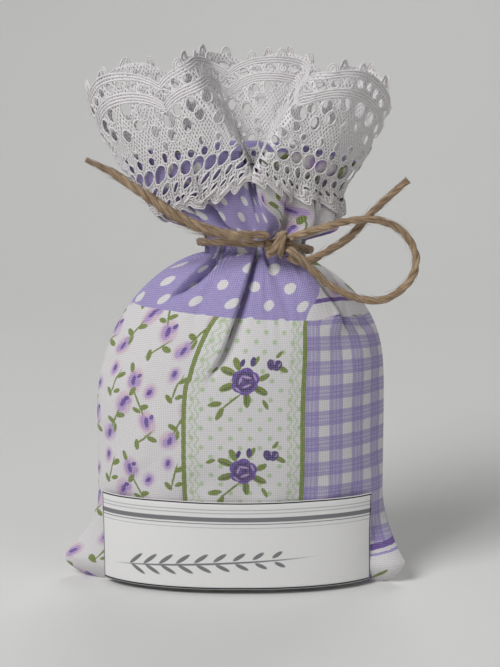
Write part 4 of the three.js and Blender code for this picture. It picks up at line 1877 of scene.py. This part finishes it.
@dataclass(frozen=True)
class HalfBow:
    """Jute twine: a turn round the neck, the knot, one loop and two ends."""

    form: BagForm
    diameter: float = 0.002
    plies: int = 3
    twist: float = 0.0105
    knot_radius: float = 0.0034
    seat: float = 0.0037
    knot: Point = (0.0099, -0.014294, 0.094666)
    loop_route: tuple[Point, ...] = (
        (0.0062, -0.0020, 0.0033), (0.0116, -0.0025, 0.0050), (0.0173, -0.0028, 0.0066),
        (0.0262, -0.0032, 0.0070), (0.0326, -0.0036, 0.0033), (0.0355, -0.0040, -0.0026),
        (0.0341, -0.0042, -0.0084), (0.0277, -0.0043, -0.0134), (0.0212, -0.0042, -0.0134),
        (0.0136, -0.0039, -0.0100), (0.0082, -0.0036, -0.0054), (0.0052, -0.0035, -0.0024),
    )
    left_route: tuple[Point, ...] = (
        (-0.0060, -0.0019, 0.0029), (-0.0125, -0.0022, 0.0031), (-0.0202, -0.0024, 0.0051),
        (-0.0278, -0.0028, 0.0091), (-0.0354, -0.0033, 0.0145), (-0.0430, -0.0039, 0.0196),
        (-0.0491, -0.0044, 0.0227),
    )
    right_route: tuple[Point, ...] = (
        (0.0050, -0.0005, -0.0042), (0.0094, -0.0002, -0.0033), (0.0140, 0.0, -0.0008),
        (0.0187, 0.0001, 0.0024), (0.0250, 0.0002, 0.0094), (0.0334, 0.0003, 0.0169),
    )
    loop_upper: Point = (0.8, -0.25, 0.55)
    loop_lower: Point = (0.72, -0.66, -0.2)
    left_root: Point = (-0.72, -0.3, 0.62)
    right_root: Point = (0.72, -0.1, -0.69)
    wrap_left: Point = (-0.99, 0.12, 0.08)
    wrap_right: Point = (0.75, 0.66, -0.1)
    wrap_clear: float = 0.0013
    wrap_gather: float = 0.0004
    step: float = 0.0006
    bend_start: float = 0.003
    bend_end: float = 0.011
    ply_offset: float = 0.47
    ply_radius: float = 0.56

    def from_knot(self, direction: Point, distance: float) -> Array:
        """A point at a distance from the middle of the knot."""
        return np.array(self.knot) + unit(np.array(direction)) * distance

    def free_line(self, root: Point, route: tuple[Point, ...], end: Point | None = None) -> Array:
        """Centre line of a free stretch that leaves the knot squarely and may come back to it.

        Args:
            root: Direction in which it leaves the knot.
            route: Points it passes, from the knot.
            end: Direction of its other end, if it comes back.

        Returns:
            Points of the line.
        """
        lead = self.seat + self.diameter / 2
        points = [self.from_knot(root, self.seat), self.from_knot(root, lead)]
        points += [np.array(self.knot) + np.array(place) for place in route]
        if end is not None:
            points += [self.from_knot(end, lead), self.from_knot(end, self.seat)]
        return smooth_route(points, self.step)

    def wrap_line(self) -> Array:
        """Centre line of the turn round the neck.

        Returns:
            Points of the line.
        """
        form = self.form
        lead = self.seat + self.diameter / 2
        reach_x = form.neck_width / 2 + self.wrap_clear
        reach_y = form.neck_depth / 2 + self.wrap_gather + self.wrap_clear
        points = [self.from_knot(self.wrap_right, self.seat), self.from_knot(self.wrap_right, lead)]
        for degrees in np.arange(-38.0, 258.1, 18.5):
            x = form.neck_shift + reach_x * math.cos(math.radians(degrees))
            y = reach_y * math.sin(math.radians(degrees))
            points.append(np.array([x, y, form.tie_height - form.tie_slope * x - form.tie_tilt * y]))
        points += [self.from_knot(self.wrap_left, lead), self.from_knot(self.wrap_left, self.seat)]
        return smooth_route(points, self.step)

    def spin(self, tubes: Tubes, line: Array, strand: Strand, seed: int) -> None:
        """Adds twisted plies and loose fibres along a line.

        Args:
            tubes: Where they are added.
            line: Centre line of the twine.
            strand: Its thickness and fraying.
            seed: Start of the fibres' random places.
        """
        chance = np.random.default_rng(seed)
        along = unit(np.gradient(line, axis=0))
        across = np.zeros_like(line)
        across[0] = unit(np.cross(along[0], (0.31, 0.92, 0.24)))
        for index in range(1, len(line)):
            turned = across[index - 1] - along[index] * (across[index - 1] @ along[index])
            across[index] = unit(turned)
        upward = np.cross(along, across)
        length = travelled(line)
        share = length / length[-1]
        girth = strand.girth(share) * self.diameter / 2
        for ply in range(self.plies):
            turn = 2 * np.pi * (length / self.twist + ply / self.plies)
            turn = turn + 0.35 * np.sin(9 * share + 2.1 * ply)
            side = np.cos(turn)[:, None] * across + np.sin(turn)[:, None] * upward
            uneven = 1 + 0.08 * np.sin(23 * share + 1.7 * ply)
            middle = line + side * (self.ply_offset * girth)[:, None]
            tubes.add(middle, self.ply_radius * girth * uneven, 9, upward)
        for _ in range(strand.fibres):
            start = int(chance.integers(2, len(line) - 4))
            span = int(chance.integers(6, 16))
            index = np.clip(np.arange(start, start + span), 0, len(line) - 1)
            angle = chance.uniform(0, 2 * np.pi) + np.linspace(0.0, chance.uniform(-1.2, 1.2), span)
            lift = 1.0 + np.linspace(0.0, 1.0, span) ** 1.6 * chance.uniform(0.15, 0.9)
            side = np.cos(angle)[:, None] * across[index] + np.sin(angle)[:, None] * upward[index]
            fibre = line[index] + side * (girth[index] * lift)[:, None]
            fibre = fibre + along[index] * (np.arange(span) * 1e-5)[:, None]
            tubes.add(fibre, np.linspace(0.00006, 0.00002, span), 3, side)

    def free_piece(self, name: str, node: str, line: Array, strand: Strand, seed: int,
                   finish: Material) -> Piece:
        """Builds and dresses one free stretch of twine.

        Args:
            name: Name of the piece.
            node: The solid it stands for.
            line: Its centre line.
            strand: Its thickness and fraying.
            seed: Start of the fibres' random places.
            finish: The jute.

        Returns:
            The piece.
        """
        tubes = Tubes()
        self.spin(tubes, line, strand, seed)
        piece = dress(tubes.piece(name), node, "jute_twine", finish, body=None)
        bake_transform(piece)
        return piece

    def knot_lines(self) -> list[Array]:
        """Centre lines of the turns that make the knot.

        Returns:
            Points of each line.
        """
        middle = np.array(self.knot)
        angle = np.linspace(0.0, 2 * np.pi, 40)
        reach = self.knot_radius - 0.0010
        lines = []
        for shift, tilt, lean, stretch in ((-0.0009, 0.10, -0.25, 1.02), (0.0010, -0.30, 0.30, 0.98)):
            ring = np.stack([shift + 0.0012 * np.sin(angle + lean), reach * stretch * np.cos(angle),
                             reach * np.sin(angle)], axis=-1)
            cosine, sine = math.cos(tilt), math.sin(tilt)
            turn = np.array([[cosine, 0, sine], [0, 1, 0], [-sine, 0, cosine]])
            lines.append(middle + ring @ turn.T)
        half = 0.0033
        x = np.linspace(-half, half, 16)
        for height, bow in ((0.0009, -0.0006), (-0.0011, 0.0004)):
            z = height + bow * np.cos(x / half * 1.5)
            lines.append(middle + np.stack([x, 0.0004 + 0.1 * np.abs(x), z], axis=-1))
        return lines

    def build(self, finish: Material) -> list[Piece]:
        """Builds and dresses all the twine.

        Args:
            finish: The jute.

        Returns:
            The pieces.
        """
        loop = self.free_line(self.loop_upper, self.loop_route, self.loop_lower)
        left = self.free_line(self.left_root, self.left_route)
        right = self.free_line(self.right_root, self.right_route)
        pieces = [
            self.free_piece("bow_loop_twine", "bow_loop", loop,
                            Strand(fibres=110), 3, finish),
            self.free_piece("left_end_twine", "tail_left", left,
                            Strand(middle=1.55, end=0.62, fibres=120), 5, finish),
            self.free_piece("right_end_twine", "tail_right", right,
                            Strand(end=0.85, fibres=70), 7, finish),
        ]
        wrap = Tubes()
        self.spin(wrap, self.wrap_line(), Strand(fibres=90), 11)
        knot = Tubes()
        for index, line in enumerate(self.knot_lines()):
            self.spin(knot, smooth_route(line, self.step), Strand(1.05, 1.05, 1.05, 14), 20 + index)
        pieces.append(dress(wrap.piece("neck_turn_twine"), "neck_wrap", "jute_twine", finish))
        pieces.append(dress(knot.piece("half_bow_knot"), "bow_knot", "jute_twine", finish))
        return pieces


@dataclass(frozen=True)
class Label:
    """Paper wrapped round the lower front of the bag."""

    form: BagForm
    height: float = 0.0245
    foot: float = 0.0015
    left: float = 0.11
    right: float = 0.85
    gap: float = 0.0004
    paper: float = 0.00022
    upper_curl: float = 0.0005
    lower_curl: float = 0.0004
    least_gap: float = 0.0002
    columns: int = 90
    rows: int = 24

    def section(self, share: Array) -> Array:
        """Plan of the paper at a share of its length, in x and y.

        Args:
            share: Shares of the length.

        Returns:
            The places.
        """
        top = np.array(self.foot + self.height)
        angle = np.pi * lerp(self.left, self.right, share)
        x = -(self.form.half_width(top) + self.gap) * np.cos(angle)
        y = -(self.form.half_depth(top) + self.gap) * np.sin(angle)
        return np.stack([x, y], axis=-1)

    def flat_width(self) -> float:
        """Width of the paper laid flat."""
        return float(travelled(self.section(np.linspace(0.0, 1.0, 200)))[-1])

    def build(self) -> Piece:
        """Builds and dresses the label.

        Returns:
            The label.
        """
        share = np.linspace(0.0, 1.0, self.columns)
        plan = self.section(share)
        tangent = unit(np.gradient(plan, axis=0))
        outward = np.stack([tangent[:, 1], -tangent[:, 0]], axis=-1)
        rise = np.linspace(0.0, 1.0, self.rows)[:, None]
        curl = self.upper_curl * np.sin(np.pi * (2.3 * share + 0.3)) * rise**2
        curl = curl + self.lower_curl * np.sin(np.pi * (1.7 * share + 0.1)) * (1 - rise)
        place = plan + outward * (np.abs(curl) + self.least_gap)[..., None]
        height = np.broadcast_to(self.foot + self.height * rise, place.shape[:2])
        points = np.concatenate([place, height[..., None]], axis=-1).reshape(-1, 3)
        width = self.flat_width()
        uvs = np.stack(np.broadcast_arrays((share - 0.5) * width, (rise - 0.5) * self.height), axis=-1)
        piece = new_mesh("label_sheet", points, grid_faces(self.columns, self.rows), uvs.reshape(-1, 2))
        printed = LabelPaper(width, self.height)
        piece.data.materials.append(printed.material())
        piece.data.materials.append(printed.plain())
        apply_modifier(piece, "SOLIDIFY", thickness=self.paper, offset=-1.0,
                       material_offset=1, material_offset_rim=1)
        return dress(piece, "paper_label", "label_paper")


@dataclass(frozen=True)
class LaceStitching:
    """Running stitches that hold the lace's foot to the ruffle."""

    lace: Lace
    inset: float = 0.0016
    stitch: float = 0.0022
    pause: float = 0.0012
    radius: float = 0.00016
    end_gap: float = 0.004

    def build(self, name: str, node: str, finish: Material) -> Piece:
        """Builds and dresses the stitches.

        Args:
            name: Name of the piece.
            node: The solid it stands for.
            finish: The sewing thread.

        Returns:
            The stitches.
        """
        tubes = Tubes()
        start = self.end_gap
        share = np.linspace(0.0, 1.0, 7)
        while start + self.stitch < self.lace.length - self.end_gap:
            along = start + share * self.stitch
            lift = 0.0004 + 0.0002 * np.sin(np.pi * share)
            line, out = self.lace.place(along, self.lace.foot(along) + self.inset, lift)
            tubes.add(line, self.radius, 6, out)
            start += self.stitch + self.pause
        return dress(tubes.piece(name), node, "sewing_thread", finish)


def aim(thing: Piece, target: Point) -> None:
    """Turns a lamp or a camera towards a point."""
    thing.rotation_euler = (Vector(target) - thing.location).to_track_quat("-Z", "Y").to_euler()


@dataclass(frozen=True)
class Studio:
    """Pale floor and backdrop, soft light and the camera at the photograph's angle."""

    camera: Point = (0.0026, -0.480, 0.1686)
    target: Point = (0.0026, 0.0, 0.0683)
    view_up: float = math.radians(20.81)
    floor_colour: Colour = (0.74, 0.74, 0.73)
    world_colour: Colour = (0.78, 0.80, 0.82)
    world_strength: float = 0.40
    lit: Point = (0.0, 0.0, 0.07)
    lamps: tuple[tuple[str, Point, float, float], ...] = (
        ("key_lamp", (-0.50, -0.52, 0.72), 0.45, 7.5),
        ("fill_lamp", (0.60, -0.55, 0.40), 0.6, 1.4),
        ("back_lamp", (0.15, 0.65, 0.70), 0.5, 2.0),
    )

    def light(self) -> None:
        """Adds the soft lamps, each with its size and power, facing the bag."""
        for name, place, size, power in self.lamps:
            bpy.ops.object.light_add(type="AREA", location=place)
            lamp = bpy.context.object
            lamp.name = name
            lamp.data.size = size
            lamp.data.energy = power
            aim(lamp, self.lit)

    def build(self) -> None:
        """Sets up the stage."""
        bpy.ops.object.select_all(action="DESELECT")
        bpy.ops.mesh.primitive_plane_add(size=6.0, location=(0.0, -2.2, 0.0))
        floor = bpy.context.object
        floor.name = "studio_floor"
        bpy.ops.object.transform_apply(location=True, rotation=True, scale=True)
        for edge in floor.data.edges:
            edge.select = all(floor.data.vertices[index].co.y > 0 for index in edge.vertices)
        bpy.ops.object.mode_set(mode="EDIT")
        bpy.ops.mesh.select_mode(type="EDGE")
        bpy.ops.mesh.extrude_region_move(TRANSFORM_OT_translate={"value": (0.0, 0.0, 3.0)})
        bpy.ops.object.mode_set(mode="OBJECT")
        for edge in floor.data.edges:
            ends = [floor.data.vertices[index].co for index in edge.vertices]
            edge.select = all(end.y > 0 and abs(end.z) < 0.001 for end in ends)
        bpy.ops.object.mode_set(mode="EDIT")
        bpy.ops.mesh.bevel(offset=0.4, segments=16, affect="EDGES")
        bpy.ops.object.mode_set(mode="OBJECT")
        bpy.ops.object.shade_smooth()
        paint = Paint("pale floor", roughness=0.8)
        grain = paint.object_mm().noise(0.01)
        paint.feed("Base Color", grain.mix(shaded(self.floor_colour, 0.97), self.floor_colour))
        floor.data.materials.append(paint.material)
        world = bpy.data.worlds.new("studio")
        world.use_nodes = True
        backing = world.node_tree.nodes["Background"]
        backing.inputs["Color"].default_value = (*self.world_colour, 1.0)
        backing.inputs["Strength"].default_value = self.world_strength
        bpy.context.scene.world = world
        self.light()
        bpy.ops.object.camera_add(location=self.camera)
        camera = bpy.context.object
        camera.name = "photo_camera"
        camera.data.sensor_fit = "VERTICAL"
        camera.data.angle_y = self.view_up
        aim(camera, self.target)
        bpy.context.scene.camera = camera
        bpy.context.scene.view_settings.view_transform = "Standard"


def main() -> None:
    """Builds the sachet's pieces in order around the frame."""
    logging.basicConfig(level=logging.INFO)
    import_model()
    Studio().build()
    form = BagForm()
    jute = JuteFibre().material()
    for piece in HalfBow(form).build(jute):
        LOG.info("made %s", piece.name)
    cotton = PrintedCotton().material()
    yarn = PlainFibre().material()
    lace_cloth = LaceCloth().material()
    thread = PlainFibre("sewing thread", (0.78, 0.75, 0.72), (0.6, 0.57, 0.55)).material()
    bag = Bag(form)
    for side, word in ((Side.FRONT, "front"), (Side.BACK, "back")):
        panel = bag.panel(side, f"{word}_cotton", f"{word}_panel", cotton)
        lace = Lace(form, side)
        edging = lace.build(f"{word}_lace", f"lace_{word}", panel.name, lace_cloth, yarn)
        stitches = LaceStitching(lace).build(f"{word}_lace_stitches", f"lace_stitch_{word}", thread)
        for piece in (panel, *edging, stitches):
            LOG.info("made %s", piece.name)
    for piece in (Label(form).build(), bag.filling(DriedBuds().material()), bag.seam(thread)):
        LOG.info("made %s", piece.name)


if __name__ == "__main__":
    main()
